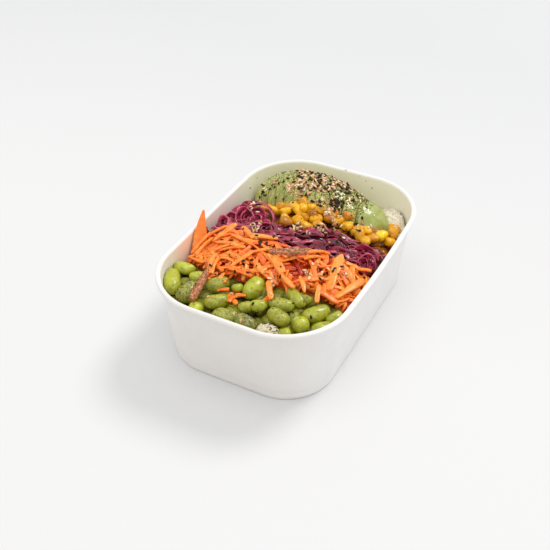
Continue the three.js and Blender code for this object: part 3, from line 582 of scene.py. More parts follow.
# Where the skin has rings on the wall's two faces.
OUTER_HEIGHTS = [8, 15, 25, 35, 44, 49, 50.6]
INNER_HEIGHTS = [52, 49, 44, 38, 30, 20, 12]
BOUNCE_Y, BOUNCE_REACH = -22, 26  # where the carrots' painted bounce light falls, mostly at the left


def wall_size(z):
    """Half width, half length and corner radius of the wall's outer face at a height."""
    share = np.minimum(1, z / WALL_TOP)
    return (mix(BASE_WIDTH / 2, RIM_WIDTH / 2 - WALL_INSET, share),
            mix(BASE_LENGTH / 2, RIM_LENGTH / 2 - WALL_INSET, share),
            mix(BASE_CORNER, RIM_CORNER - WALL_INSET, share))


def wall_ring(z):
    """The wall's outer face at one height: places, outward directions and the dip of the rim."""
    long, corner_steps, short = BOWL_STEPS
    share = min(1, z / WALL_TOP)
    half_width, half_length, corner = wall_size(z)
    side_y = (half_length - corner) * np.arange(long) / long
    bend = np.pi / 2 * np.arange(corner_steps + 1) / corner_steps
    end_x = (half_width - corner) * (1 - np.arange(1, short + 1) / short)
    x = np.concatenate([np.full(long, half_width), half_width - corner + corner * np.cos(bend),
                        end_x])
    y = np.concatenate([side_y, half_length - corner + corner * np.sin(bend),
                        np.full(short, half_length)])
    angle = np.concatenate([np.zeros(long), bend, np.full(short, np.pi / 2)])
    middle = np.cos(np.pi / 2 * y / half_length) ** 2 * np.cos(angle) ** 2 * share
    x = x + SIDE_BOW * middle
    out_x, out_y, dip = np.cos(angle), np.sin(angle), SIDE_DIP * middle * share
    quarters = []
    for sign_x, sign_y, back in ((1, 1, False), (-1, 1, True), (-1, -1, False), (1, -1, True)):
        order = slice(None, 0, -1) if back else slice(None, -1)
        part = np.stack([sign_x * x, sign_y * y, sign_x * out_x, sign_y * out_y, dip], 1)
        quarters.append(part[order])
    return np.vstack(quarters)


def ring_plan(z, grow):
    """The wall's ring at a height in the plan, grown outward."""
    at = wall_ring(z)
    return at[:, :2] + at[:, 2:4] * grow


def bowl_batch():
    """The bowl's skin from the base panel's underside, out and up over the rim and down. Inside
    it, the tint grows towards the back and the mark paints the carrots' bounce light beside them."""
    bead_middle = BEAD - WALL
    start = -math.acos(-bead_middle / BEAD)
    rings = [(FOOT_RECESS, -FOOT_WIDTH - 12), (FOOT_RECESS, -FOOT_WIDTH - 0.5),
             (FOOT_RECESS - 0.5, -FOOT_WIDTH), (FOOT_EDGE, -FOOT_WIDTH),
             (0, -FOOT_WIDTH + FOOT_EDGE), (0, -FOOT_EDGE), (FOOT_EDGE, 0), (2, 0),
             (CRIMP - 0.7, 0), (CRIMP, -0.14), (CRIMP + 0.7, 0)]
    rings += [(z, 0) for z in OUTER_HEIGHTS]
    rings += [(WALL_TOP + BEAD * math.sin(angle), bead_middle + BEAD * math.cos(angle))
              for angle in np.linspace(start, math.pi, 22)]
    inside_from = len(rings) - 3
    rings += [(z, -WALL) for z in INNER_HEIGHTS]
    rings += [(FLOOR_TOP + FLOOR_FILLET * (1 - math.sin(angle)),
               -WALL - FLOOR_FILLET * (1 - math.cos(angle)))
              for angle in np.linspace(0, math.pi / 2, 6)]
    rows = [np.column_stack([ring_plan(z, grow), z - wall_ring(z)[:, 4]]) for z, grow in rings]
    around = len(rows[0])
    points = np.vstack([[[0, 0, FOOT_RECESS]], *rows, [[0, 0, FLOOR_TOP]]])
    inside = np.zeros(len(points))
    inside[1 + inside_from * around:] = 1
    far = np.clip((points[:, 1] + 20) / 90, 0, 1)
    # The mark is painted bounce light: the carrots' orange on the inner wall, most of it at the
    # left.
    bounce = np.exp(-(((points[:, 1] - BOUNCE_Y) / BOUNCE_REACH) ** 2))
    bounce = bounce * (0.25 + 0.75 * (points[:, 0] < 0))
    batch = Batch()
    batch.add(points, skin_faces(len(rows), around, flip=True), inside * (0.15 + 0.85 * far),
              0.75 * inside * bounce)
    return batch


def room_limits(z, clear):
    """Half width, half length and corner radius of the room inside the bowl."""
    return [size - (WALL + clear) for size in wall_size(z)]


def wall_x(y, z, clear=0.4):
    """Half width of the room at a place along the bowl."""
    half_width, half_length, corner = room_limits(z, clear)
    past = np.clip(np.abs(y) - (half_length - corner), 0, corner)
    middle = np.cos(np.pi / 2 * np.clip(np.abs(y) / half_length, 0, 1)) ** 2
    bow = SIDE_BOW * middle * np.minimum(1, z / WALL_TOP)
    return half_width - corner + np.sqrt(corner**2 - past**2) + bow


def wall_y(x, z, clear=0.4):
    """Half length of the room at a place across the bowl."""
    half_width, half_length, corner = room_limits(z, clear)
    past = np.clip(np.abs(x) - (half_width - corner), 0, corner)
    return half_length - corner + np.sqrt(corner**2 - past**2)


def pressed(points):
    """A body's points moved to this side of the bowl's wall, where they pass it."""
    x, y, z = points.T
    limit = wall_x(y, z)
    x = np.clip(x, -limit, limit)
    limit = wall_y(x, z)
    return np.column_stack([x, np.clip(y, -limit, limit), z])


def is_inside(points, clear=0.0):
    """Whether all points of a body lie inside the bowl's wall, or above its rim."""
    low = points[points[:, 2] < BOWL_HEIGHT]
    for z in (40, 48, 54):
        x, y, _ = low[np.abs(low[:, 2] - z) <= 8].T
        if ((np.abs(x) > wall_x(y, z - 3, clear)).any()
                or (np.abs(y) > wall_y(x, z - 3, clear)).any()):
            return False
    return True


def stays(path, room, front_line, back_line, past):
    """Whether a path passes its heap's edges by little and stays in the room between the side
    walls, given as the height to look at and how far to keep from them."""
    x, y = path[:, 0], path[:, 1]
    return ((np.abs(x) <= wall_x(y, *room)).all()
            and in_band(x, y, front_line, back_line, -past).all())


# ---------------- cores of the heaps

CORE_ROWS, CORE_COLUMNS = 44, 96
EDGE_DROP, EDGE_REACH = 2.4, 7  # a core falls by this much at its two edges, over this length
PILE_START = -5.5  # strands are laid from this far under the heap's surface
STIFFNESS = 0.7  # 1 bridges every dip of the pile


def heap_core(front_line, back_line, cover, roughness, seed, left=None):
    """A closed block under a heap: its top follows the food's surface, lowered by cover."""
    grid_x, grid_y = np.meshgrid(np.linspace(-1, 1, CORE_COLUMNS), np.linspace(0, 1, CORE_ROWS))
    x = grid_x * wall_x(0, TOPPING_BASE)
    if left is not None:
        x = mix(left, wall_x(0, TOPPING_BASE), (grid_x + 1) / 2)
    for _ in range(4):  # the ends and the width depend on one another, and settle
        far = wall_y(x, TOPPING_BASE)
        low = np.maximum(read_line(front_line, x), -far)
        high = np.minimum(read_line(back_line, x), far)
        y = mix(low, high, grid_y)
        limit = wall_x(y, TOPPING_BASE)
        x = np.clip(x, -limit, limit)
    flat = np.stack([x.ravel(), y.ravel(), np.zeros(x.size)], 1)
    drop = EDGE_DROP * np.maximum(0, 1 - np.minimum(y - low, high - y) / EDGE_REACH) ** 2
    relief = roughness * (ripple(flat, 5, seed) + 0.6 * ripple(flat, 2.2, seed + 1))
    top = np.maximum(TOPPING_BASE + 1.2, heap_top(x, y) - cover - drop + relief.reshape(x.shape))
    upper = np.stack([x, y, top], 2).reshape(-1, 3)
    lower = np.stack([x, y, np.full(x.shape, TOPPING_BASE)], 2).reshape(-1, 3)
    rows, columns, size = CORE_ROWS, CORE_COLUMNS, x.size
    faces = []
    for i in range(rows - 1):
        for j in range(columns - 1):
            a, b = i * columns + j, (i + 1) * columns + j
            faces.append((a, a + 1, b + 1, b))
            faces.append((size + a, size + b, size + b + 1, size + a + 1))
    edge = [j for j in range(columns)] + [i * columns + columns - 1 for i in range(1, rows)]
    edge += [(rows - 1) * columns + j for j in range(columns - 2, -1, -1)]
    edge += [i * columns for i in range(rows - 2, 0, -1)]
    for a, b in zip(edge, edge[1:] + edge[:1]):
        faces.append((size + a, size + b, b, a))
    batch = Batch()
    batch.add(np.vstack([upper, lower]), faces)
    return batch


class Pile:
    """Heights of a growing heap on a grid of one millimetre."""

    half = (64, 90)

    def __init__(self):
        x, y = np.meshgrid(*(np.arange(-n, n + 1) for n in self.half), indexing="ij")
        self.z = heap_top(x.astype(float), y.astype(float)) + PILE_START

    def index(self, points):
        return tuple(np.clip(np.rint(points[:, k]).astype(int) + n, 0, 2 * n)
                     for k, n in enumerate(self.half))

    def lay(self, flat_path, thick):
        """Heights for a strand along a path, so that it rests on the pile and bends a little."""
        ground = self.z[self.index(flat_path)]
        t = np.linspace(-1, 1, len(flat_path))
        fit = np.polyval(np.polyfit(t, ground, 2), t)
        return fit + np.max(ground - fit) * STIFFNESS + thick / 2

    def stamp(self, points):
        """Raises the pile to the given points."""
        np.maximum.at(self.z, self.index(points), points[:, 2])


# ---------------- edamame

# Each bean's middle, its turn in degrees, its length and width, its tint, and how much pepper
# lies on it.
BEANS = [
    (-49, -45, 8, 14.5, 8, 0.84, 0), (-48, -59, -58, 22, 11, 0.64, 0),
    (-36, -50.5, 30, 10, 7.5, 0.8, 0.1), (-34.5, -62.5, 76, 16, 12, 0.56, 1),
    (-22, -50.5, 43, 15, 10, 0.55, 0.5), (-15.5, -63, 50, 15.5, 9, 0.5, 0.2),
    (-23.5, -72.5, 18, 8.5, 9, 0.9, 0), (-5.5, -70.5, 12, 15.5, 9.5, 0.76, 0.85),
    (7, -70, -7, 14, 9, 0.5, 1), (-9, -50.5, 39, 7, 5.5, 0.55, 0.1),
    (-1.5, -44.5, 89, 17.5, 12, 0.75, 0.05), (8.5, -57, 44, 11, 7.5, 0.65, 0.1),
    (2.5, -61, 50, 9, 7, 0.55, 0.2), (20, -50, 9, 13.5, 8, 0.6, 0.3),
    (16, -52, 20, 7.5, 6.5, 0.45, 0.2), (22, -59, -16, 15.5, 9.5, 0.5, 0.35),
    (24, -42.5, -29, 17.5, 8, 0.48, 0), (29.5, -41.5, -20, 10.5, 6, 0.3, 0),
    (39, -46, 55, 17.5, 10, 0.54, 0.1), (35, -58, 39, 10, 10, 0.66, 0),
    (46.5, -55, 62, 13.5, 8, 0.5, 0), (49, -43.5, 64, 11, 7.5, 0.5, 0),
    (31, -69, 42, 7, 7, 0.7, 0),
]
BEAN_ROUNDNESS = 0.92  # a bean's height as a share of its width
BEAN_RISE = 0.9  # the beans' tops stand this far over the heap's surface
BEAN_BALL = ball(30, 24)
# The beans underneath: how many, and how deep under the heap's surface their middles lie.
HIDDEN_BEANS, HIDDEN_DEPTH, HIDDEN_AREA = 44, (8.4, 9.8), ((-53, 53), (-82, -33))
FRONT_BEANS, FRONT_ROW = 9, (-79, -76.5)  # the beans behind the near rim, and where they lie
FRONT_APART, HIDDEN_APART = 6.4, 5.2  # least distance from the middles of other beans


def bean(random, long, wide, at, yaw, bend):
    unit, faces = BEAN_BALL
    along, across, up = unit.T
    full = np.sqrt(np.clip(1 - np.abs(along) ** 2.5, 0, 1) / np.clip(1 - along**2, 1e-6, 1))
    full = np.where(np.abs(along) > 0.999, 1, full)
    blunt = 1 - random.uniform(-0.10, 0.10) * along
    seam = 0.02 * np.exp(-((up / 0.09) ** 2)) * (across > -0.2)
    scar = 0.07 * np.exp(-((along / 0.3) ** 2)) * np.clip(across, 0, 1) ** 3
    points = np.stack([
        along * long / 2,
        across * (1 - seam - scar) * wide / 2 * full * blunt + bend * (along**2 - 0.5),
        up * (1 - seam) * BEAN_ROUNDNESS * wide / 2 * full * blunt,
    ], 1)
    points *= 1 + 0.02 * ripple(points, 9, new_seed(random))[:, None]
    spin = turn(yaw, random.uniform(-0.12, 0.12), random.uniform(-0.3, 0.3))
    return placed(points, at, spin), faces


def in_beans(x, y):
    return in_band(x, y, FRONT_END, BEANS_END, 2)


def edamame_batch():
    random = np.random.default_rng(210)
    batch = Batch()
    draw = cad_random(21)
    for x, y, yaw, long, wide, tint, pepper in BEANS:
        bend, _, _ = (draw() for _ in range(3))
        at = (x, y, heap_top(x, y) - BEAN_ROUNDNESS * wide / 2 + BEAN_RISE)
        points, faces = bean(random, long, wide, at, math.radians(yaw), mix(0.5, 1.3, bend))
        batch.add(pressed(points), faces, tint, pepper)
    taken = [(x, y) for x, y, *_ in BEANS]
    for x in np.linspace(-30, 30, FRONT_BEANS):
        spot = np.array([x + random.uniform(-1.5, 1.5), random.uniform(*FRONT_ROW)])
        if np.min(np.hypot(*(np.array(taken) - spot).T)) < FRONT_APART:
            continue
        long, wide = random.uniform(10, 13), random.uniform(6.5, 8)
        at = (*spot, heap_top(*spot) - 0.45 * wide)
        points, faces = bean(random, long, wide, at, random.normal(0, 0.4),
                             random.uniform(0.5, 1.3))
        taken.append(spot)
        batch.add(pressed(points), faces, random.uniform(0.4, 0.8), random.choice([0, 0.3]))
    most = len(BEANS) + FRONT_BEANS + HIDDEN_BEANS
    for spot in free_spots(random, taken, most, HIDDEN_AREA, in_beans, HIDDEN_APART):
        long, wide = random.uniform(11, 15), random.uniform(7.5, 9.5)
        at = (*spot, heap_top(*spot) - random.uniform(*HIDDEN_DEPTH))
        points, faces = bean(random, long, wide, at, random.uniform(0, np.pi),
                             random.uniform(0.5, 1.3))
        if is_inside(points):
            taken.append(spot)
            # The beans underneath get dark tints: painted shade.
            batch.add(points, faces, random.uniform(0.0, 0.4), random.choice([0, 0.2]))
    return batch


# ---------------- carrot

# The shreds that stand out: both ends as (x, y, height over the heap), the widths there,
# thickness, rise at the middle, and tint.
CARROT_SHREDS = [
    ((-43, -22, 1.0), (-36.5, -3.5, 2.0), (3, 3.4), 1.5, 0.5, 0.85),
    ((-50, -18, 0.5), (-40, -8, 1.5), (2, 2.4), 1.4, 0.5, 0.75),
    ((-29, -9, 3), (-18, -15, 0.5), (3.4, 3), 1.5, 0.4, 0.85),
    ((-21, -12, 0.5), (-4, -10, 1), (5.2, 2), 1.4, 0.6, 0.95),
    ((-41, -22, 0.5), (-22, -24, 0.8), (2.4, 2.6), 1.3, 1.5, 0.75),
    ((-38, -31, 0.5), (-25, -20, 0.5), (2.6, 2.2), 1.4, 1.2, 0.8),
    ((-34, -29, 0), (-19, -23, 0), (2.8, 2.6), 1.4, 1, 0.7),
    ((-6, -33, 0.8), (2, -38, 0), (2.6, 2.8), 1.4, 0.3, 0.85),
    ((-3, -25, 0.6), (11.5, -34, 0.8), (2.4, 6.4), 1.5, 1.0, 0.85),
    ((-30, -39, 0), (-22, -44, 0), (2.6, 2.4), 1.3, 0.2, 0.6),
    ((-21, -41, 0), (-4, -42, 0.5), (3, 3), 1.4, 0.8, 0.5),
    ((7, -42, 0.4), (14.5, -53.5, 1.2), (3.4, 4.2), 1.6, 0.8, 0.8),
    ((16, -13, 0), (27, -4, 0), (2.8, 2.6), 1.5, 2.2, 0.8),
    ((17, -18, 0), (28, -10, 0), (2.6, 2.6), 1.5, 1.4, 0.7),
    ((34, -2, 2.6), (38, -31, 0.2), (4.5, 8.5), 1.6, 1.6, 1.0),
    ((51, -8, 1), (44, -32, 0.4), (4.4, 4.2), 1.7, 1.2, 0.95),
    ((42, -4, 1), (48, -16, 0.4), (3.8, 3.4), 1.5, 0.8, 0.85),
    ((44, -4, 0.6), (52, 1, 3), (3.2, 3), 1.5, 0.2, 0.85),
    ((38, -5, 1), (46, -2, 0.6), (3, 3), 1.3, 0.4, 0.9),
    ((33, -30, 0), (38, -44, 2), (3.2, 2.6), 1.4, 1.6, 0.9),
    ((34, -34, 0), (47, -34, 0), (4.8, 4), 1.6, 0.4, 0.55),
    ((21, -31, 0), (29, -41, 1.4), (2.8, 2.6), 1.3, 0.8, 0.85),
    ((9, -33.5, 0.8), (22.5, -41, 1.4), (2.6, 4.4), 1.5, 0.8, 0.7),
    ((21, -35, 0.4), (33, -25, 0.4), (3, 2.6), 1.4, 0.8, 0.65),
    ((-52, -32, 1), (-46, -19, 5), (3.6, 1.4), 1.4, 0.4, 0.85),
    ((-47, -34, 1), (-43, -21, 3), (3.2, 1.2), 1.3, 0.5, 0.9),
    ((-43, -27, 0.4), (-29, -37, 0.4), (2.8, 2.2), 1.4, 1, 0.8),
    ((-28, -30, 0.4), (-10, -35, 0.4), (3, 2.4), 1.4, 0.8, 0.7),
    ((-20, -40, 0.2), (-12, -26, 0.6), (2.4, 3), 1.3, 0.7, 0.85),
    ((-17, -29, 0.4), (-3, -19, 0.6), (2.6, 2), 1.3, 0.8, 0.8),
    ((-33, -15, 0.4), (-16, -20, 0.4), (2.8, 2.4), 1.4, 1, 0.75),
    ((-34, -33, 0.8), (-29, -50, 2.6), (2.6, 2.2), 1.3, 1.2, 0.8),
    ((-36, -38, 0.6), (-27.5, -50.5, 2.4), (2.4, 2.2), 1.3, 1.4, 0.7),
    ((-30, -36, 0.8), (-26, -49.5, 2.2), (2.2, 1.8), 1.2, 1.4, 0.85),
    ((-52, -29, 0.6), (-41, -37.5, -0.4), (3.2, 2.8), 1.4, 0.8, 0.8),
    ((-51.5, -34, -0.8), (-38.5, -39.5, -0.8), (3.0, 2.4), 1.4, 0.8, 0.7),
    ((-50, -26, -0.2), (-44, -36.5, 0.2), (2.6, 3.0), 1.3, 0.6, 0.65),
    ((-2, -36, -0.6), (12, -40, -1.8), (2.8, 2.2), 1.3, 0.4, 0.6),
    ((3, -34, -0.4), (9, -42.5, -2.4), (2.4, 2.8), 1.3, 0.6, 0.7),
    ((12, -36, -0.8), (20, -43, -2.0), (2.6, 2.2), 1.3, 0.6, 0.65),
]
# The two broad sticks under ground spices: ends as above, widths, thickness and rise.
SEASONED_STICKS = [
    ((-30.6, -46.5, 0.2), (-25, -73, 2.9), (4.4, 4.4), 3.2, 1.6),
    ((-3, -23, 0.5), (17, -13, 0.8), (5, 4.6), 3.8, 0.3),
]
# The tall pointed strip at the left wall: its ends, and its width along it.
SPIKE_FROM, SPIKE_TO = (-49.5, -27, 42), (-55.2, -10.3, 63.2)
SPIKE_WIDTH = [(0, 7.5), (0.15, 9.6), (0.45, 8.2), (0.75, 4.6), (0.95, 1.8), (1, 1.0)]
SPIKE_THICK, SPIKE_ROLL, SPIKE_SIDES = 2.0, 0.2, 12
SHRED_SECTION = rounded_section(8, 0.5)
SHRED_TRIES, SHRED_AREA, SHRED_ROOM = 5200, ((-53, 53), (-44, 2)), (42, 1.6)
SHRED_RISE = 0.9  # loose shreds reach this far over the heap's surface
DARK_HOLLOW = (15.5, -26, 8)  # the deep red hollow in the heap, given painted shade: middle and radius
HOLLOW_TOP = -3.0  # loose shreds in it stay this far under the heap's surface
# The shreds that hang over the beans: the distance between them, and how far they hang.
HANG_PITCH, HANG_DROP = 3.2, 4.5
SHRED_YAWS = [(75, 20), (25, 20), (-35, 25)]  # the ways that shreds lie, in degrees, with spread
# How often each way is taken left and right of a place across the bowl.
LEFT_SHARES, RIGHT_SHARES, SHARES_SPLIT = [0.45, 0.38, 0.17], [0.25, 0.30, 0.45], -12
LOOSE_TINTS = (0.45, 0.8)  # of those and of the small bits
# Small bits of carrot among the beans: places, heights over the heap and lengths.
CARROT_BITS = [
    (-14.5, -57, -0.2, 7), (-26, -48.5, -0.2, 5), (-21, -47.5, -0.2, 6), (-17.5, -49.5, -0.2, 4),
    (-27, -51, -0.2, 4), (-7, -56.5, -2.6, 7), (-4.5, -54.5, -2.4, 6), (-8.5, -58.5, -3.0, 6),
    (-10.5, -56, -3.2, 6), (-6, -59, -3.4, 6), (10.5, -51.5, -1.8, 7), (12.5, -50.5, -2.2, 6),
]


def shred_body(random, path, wide, thick, roll, least_tip=0.45):
    """A flat shred along a path, uneven in width, with ends cut straight or drawn to a point."""
    share = end_steps(len(path))
    uneven = 1 + 0.12 * wave(random, share, 3, 9)
    tips = [max(least_tip, random.choice([0.45, 0.75, 1.0])) for _ in range(2)]
    taper = np.interp(share, [0, 0.14, 0.86, 1], [tips[0], 1, 1, tips[1]])
    blunt = np.interp(share, [0, 0.012, 0.988, 1], [0.8, 1, 1, 0.8])
    twist = roll + (share - 0.5) * random.uniform(-1.0, 1.0)
    curl = random.uniform(-0.16, 0.16) * wave(random, share, 1, 4, 3)
    width = np.interp(share, [0, 1], wide) * uneven * taper * blunt
    points, faces = strand(path, width, thick * blunt, twist, SHRED_SECTION, curl)
    points += 0.10 * shifts(points, 3, [new_seed(random) for _ in range(3)])
    return points, faces


def shaded(random, points, tint):
    """A body's tint, lighter and darker along it."""
    return np.clip(tint + 0.10 * ripple(points, 6, new_seed(random)), 0, 1)


def add_shred(random, batch, path, wide, thick, lean, tint=None, fit=None):
    """Adds a shred that leans by up to lean, in a loose shred's tint if none is given."""
    points, faces = shred_body(random, path, wide, thick, random.uniform(-lean, lean))
    tint = random.uniform(*LOOSE_TINTS) if tint is None else tint
    batch.add(fit(points) if fit else points, faces, shaded(random, points, tint))


def pile_shreds(random, batch):
    """Loose shreds in layers up to the heap's surface."""
    pile = Pile()
    for _ in range(SHRED_TRIES):
        x, y = in_area(random, SHRED_AREA)
        if not in_band(x, y, BEANS_END, CARROT_END, 0.3):
            continue
        kind = random.choice(3, p=LEFT_SHARES if x < SHARES_SPLIT else RIGHT_SHARES)
        yaw = math.radians(random.normal(*SHRED_YAWS[kind]))
        half, bow = random.uniform(4.5, 14), random.normal(0, 1.9)
        t = 2 * end_steps(12) - 1
        flat = bowed(x, y, yaw, t, half, bow * (t**2 - 0.3))
        if not stays(flat, SHRED_ROOM, BEANS_END, CARROT_END, 2.5):
            continue
        thick = random.uniform(0.9, 1.5)
        z = pile.lay(flat, thick)
        over = z + thick / 2 - heap_top(*flat.T)
        sunk = np.hypot(flat[:, 0] - DARK_HOLLOW[0], flat[:, 1] - DARK_HOLLOW[1]) < DARK_HOLLOW[2]
        if (over > np.where(sunk, HOLLOW_TOP, SHRED_RISE)).any():
            continue
        wide = random.uniform(1.6, 3.4) * random.uniform(0.8, 1.2, 2)
        points, faces = shred_body(random, np.column_stack([flat, z]), wide, thick,
                                   random.uniform(-0.6, 0.6))
        pile.stamp(points)
        # Shreds in the hollow get the darkest tints: painted shade.
        if sunk.mean() > 0.4:
            tint = random.uniform(0.0, 0.12)
        else:
            # Shreds lower in the pile get darker tints: painted shade.
            tint = random.normal(0.74, 0.19) - 0.45 * np.clip(-over.mean() / 4, 0, 1)
        batch.add(points, faces, shaded(random, points, tint))


def spike():
    """The tall strip, with its tint: darker towards its tip, and redder along its right edge low
    down as painted shade.
    """
    share = end_steps(26)
    path = arched(SPIKE_FROM, SPIKE_TO, 0, 0.5, share)
    blunt = np.interp(share, [0, 0.8, 1], [1, 0.9, 0.5])
    points, faces = strand(path, read_line(SPIKE_WIDTH, share), SPIKE_THICK * blunt, SPIKE_ROLL,
                           rounded_section(SPIKE_SIDES, 0.7), 0.14)
    rise = (points[:, 2] - SPIKE_FROM[2]) / (SPIKE_TO[2] - SPIKE_FROM[2])
    # Painted shade on the strip's right side, mostly low down.
    painted_shade_edge = np.clip((points[:, 0] - np.repeat(path[:, 0], SPIKE_SIDES)) / 3, 0, 1)
    return points, faces, np.clip(0.95 - 0.35 * rise - 0.5 * painted_shade_edge * (1 - rise), 0, 1)


def carrot_batches():
    random = np.random.default_rng(310)
    shreds, sticks = Batch(), Batch()
    pile_shreds(random, shreds)
    share = end_steps(16)
    for start, end, wide, thick, rise, tint in CARROT_SHREDS:
        path = arched(on_heap(start), on_heap(end), rise, random.uniform(-0.8, 0.8), share)
        add_shred(random, shreds, path, wide, thick, 0.3, tint)
    for x in np.arange(-50, 51, HANG_PITCH):
        x = x + random.uniform(-1, 1)
        edge = read_line(BEANS_END, x)
        back = (x + random.uniform(-4, 4), edge + random.uniform(3, 6), -0.6)
        front = (x, edge - random.uniform(0, 1.6), -HANG_DROP * random.uniform(0.6, 1.1))
        path = arched(on_heap(back), on_heap(front), 1.2, random.uniform(-0.8, 0.8), end_steps(10))
        wide, thick = random.uniform(1.6, 3.0), random.uniform(1.0, 1.4)
        add_shred(random, shreds, path, (wide, wide), thick, 0.4, fit=pressed)
    for x, y, over, long in CARROT_BITS:
        yaw = random.uniform(0, np.pi)
        reach = np.array([math.cos(yaw), math.sin(yaw), 0]) * long / 2
        middle = np.array(on_heap((x, y, over))) + UP * random.uniform(-0.4, 0.4)
        path = arched(middle - reach, middle + reach, 0.3, 0.2, end_steps(8))
        add_shred(random, shreds, path, (2.8, 2.4), 1.3, 0.5)
    shreds.add(*spike())
    for start, end, wide, thick, rise in SEASONED_STICKS:
        path = arched(on_heap(start), on_heap(end), rise, 0, end_steps(24))
        sticks.add(*shred_body(random, path, wide, thick, 0.1, least_tip=0.95))
    return shreds, sticks


# ---------------- red cabbage

# Middle of each arc with its height over the heap, radius, start and sweep in degrees, tilt,
# width, tint.
CABBAGE_LOOPS = [
    (-37, 8, 2.5, 6, 20, 320, 40, 3.0, 0.8), (-29.4, 9.5, 0.6, 11.4, -50, 265, 25, 6.4, 0.7),
    (-47, -3, 0.8, 5, -50, 200, 30, 3.8, 0.9), (-46, 6, 0.8, 5.5, 60, 170, 15, 4, 0.8),
    (44, 8, 1.5, 8, 20, 190, 20, 3.6, 0.65), (47, 4, 2, 6, 10, 200, 30, 3.2, 0.7),
]
# Ribbons that stand on end at the left wall, from their roots to their tips: width and tint.
CABBAGE_STANDS = [
    ((-50.8, -11, 40), (-52.4, -13.6, 53.4), 3.6, 0.5),
    ((-47.5, -9, 41), (-48.2, -10.4, 52.8), 4.6, 0.95),
]
# Places where the ribbons coil: middle, radii, heights over the heap, and how many.
CABBAGE_COILS = [
    (-30.5, 9, (3, 10.5), (-2.4, 0.6), 34), (-45, 0, (3, 6), (-1.5, 0.6), 16),
    (45, 7, (3, 8), (-2, 1), 26), (-18, 0, (4, 9), (-2, 0.2), 12),
    (-46.5, 22, (3, 7), (-1.6, 0.4), 26), (-45, 29, (2.5, 5), (-1.6, 0.4), 22),
]
COIL_DROP = 2.4  # a coil's two ends sink by this
COIL_ROOM, COIL_DEPTH = (44, 2.2), 5  # and no part of one lies deeper in the heap
RIBBON_SECTION = rounded_section(8, 0.7)
RIBBON_TRIES, RIBBON_AREA, RIBBON_ROOM = 3800, ((-53, 53), (-18, 33)), (42, 2.4)
# Partly tone, partly painted light: lighter at the left, as the carrots' bounce light.
RIBBON_TINTS = [(-50, 0.6), (-28, 0.54), (-10, 0.37), (20, 0.35), (50, 0.37)]  # across the bowl
EDGE_HIGHLIGHT = 0.13  # how much lighter a ribbon's edges are: a painted highlight
RIBBON_LIFT = 0.5  # ribbons lie loosely: this far over the pile
RIBBON_RISE = 1.2  # their upper edges reach this far over the heap's surface


def cabbage_ribbon(random, batch, path, wide, thick, roll, tint):
    """Adds a wavy ribbon along a path, with painted highlights on its edges, and returns its
    points.
    """
    share = end_steps(len(path))
    width = wide * (1 + 0.2 * wave(random, share, 5, 11))
    width = width * np.interp(share, [0, 0.15, 0.85, 1], [0.35, 1, 1, 0.35])
    twist = roll + 0.55 * wave(random, share, 3, 8)
    curl = random.uniform(0.15, 0.5) * wave(random, share, 2, 7)
    body = thick * np.interp(share, [0, 0.1, 0.9, 1], [0.6, 1, 1, 0.6])
    points, faces = strand(path, width, body, twist, RIBBON_SECTION, curl)
    points += 0.22 * shifts(points, 3.6, [new_seed(random) for _ in range(3)])
    edge = np.tile(np.abs(RIBBON_SECTION[:, 0]) > 0.8, len(path))
    batch.add(points, faces, np.clip(shaded(random, points, tint) + EDGE_HIGHLIGHT * edge, 0, 1))
    return points


def coil_path(x, y, z, radius, start, sweep, tilt, count):
    """An arc in a tilted plane whose two ends sink."""
    share = end_steps(count)
    angle = math.radians(start) + math.radians(sweep) * share
    lean = math.radians(tilt)
    reach = radius * (1 + 0.06 * np.sin(angle * 3 + x))
    return np.stack([
        x + reach * np.cos(angle),
        y + reach * np.sin(angle) * math.cos(lean),
        z + reach * np.sin(angle) * math.sin(lean) - COIL_DROP * (2 * share - 1) ** 4,
    ], 1)


def pile_ribbons(random, batch):
    """Loose ribbons in layers up to the heap's surface."""
    pile = Pile()
    for _ in range(RIBBON_TRIES):
        x, y = in_area(random, RIBBON_AREA)
        if not in_band(x, y, CARROT_END, CABBAGE_END, 1):
            continue
        yaw, half, bow = random.normal(0.35, 0.3), random.uniform(5, 15), random.normal(0, 1.9)
        waves, phase = random.uniform(2, 6), random.uniform(0, 6)
        t = 2 * end_steps(16) - 1
        off = bow * (t**2 - 0.3) + random.uniform(0.2, 0.9) * np.sin(waves * t + phase)
        flat = bowed(x, y, yaw, t, half, off)
        if not stays(flat, RIBBON_ROOM, CARROT_END, CABBAGE_END, 1.5):
            continue
        thick = random.uniform(0.6, 0.95)
        swell = random.uniform(0.2, 0.8) * np.sin(random.uniform(3, 7) * t + phase)
        z = pile.lay(flat, thick) + swell + RIBBON_LIFT
        over = z + RIBBON_RISE - heap_top(*flat.T)
        if over.max() > RIBBON_RISE:
            continue
        roll = random.uniform(0, 1.0) * random.choice([-1, 1])
        tint = random.normal(read_line(RIBBON_TINTS, x), 0.21)
        # Ribbons lower in the pile get darker tints: painted shade.
        tint = tint - 0.4 * np.clip(-over.mean() / 4, 0, 1)
        points = cabbage_ribbon(random, batch, np.column_stack([flat, z]),
                                random.uniform(2.2, 4.8), thick, roll, tint)
        pile.stamp(points - UP * RIBBON_LIFT)


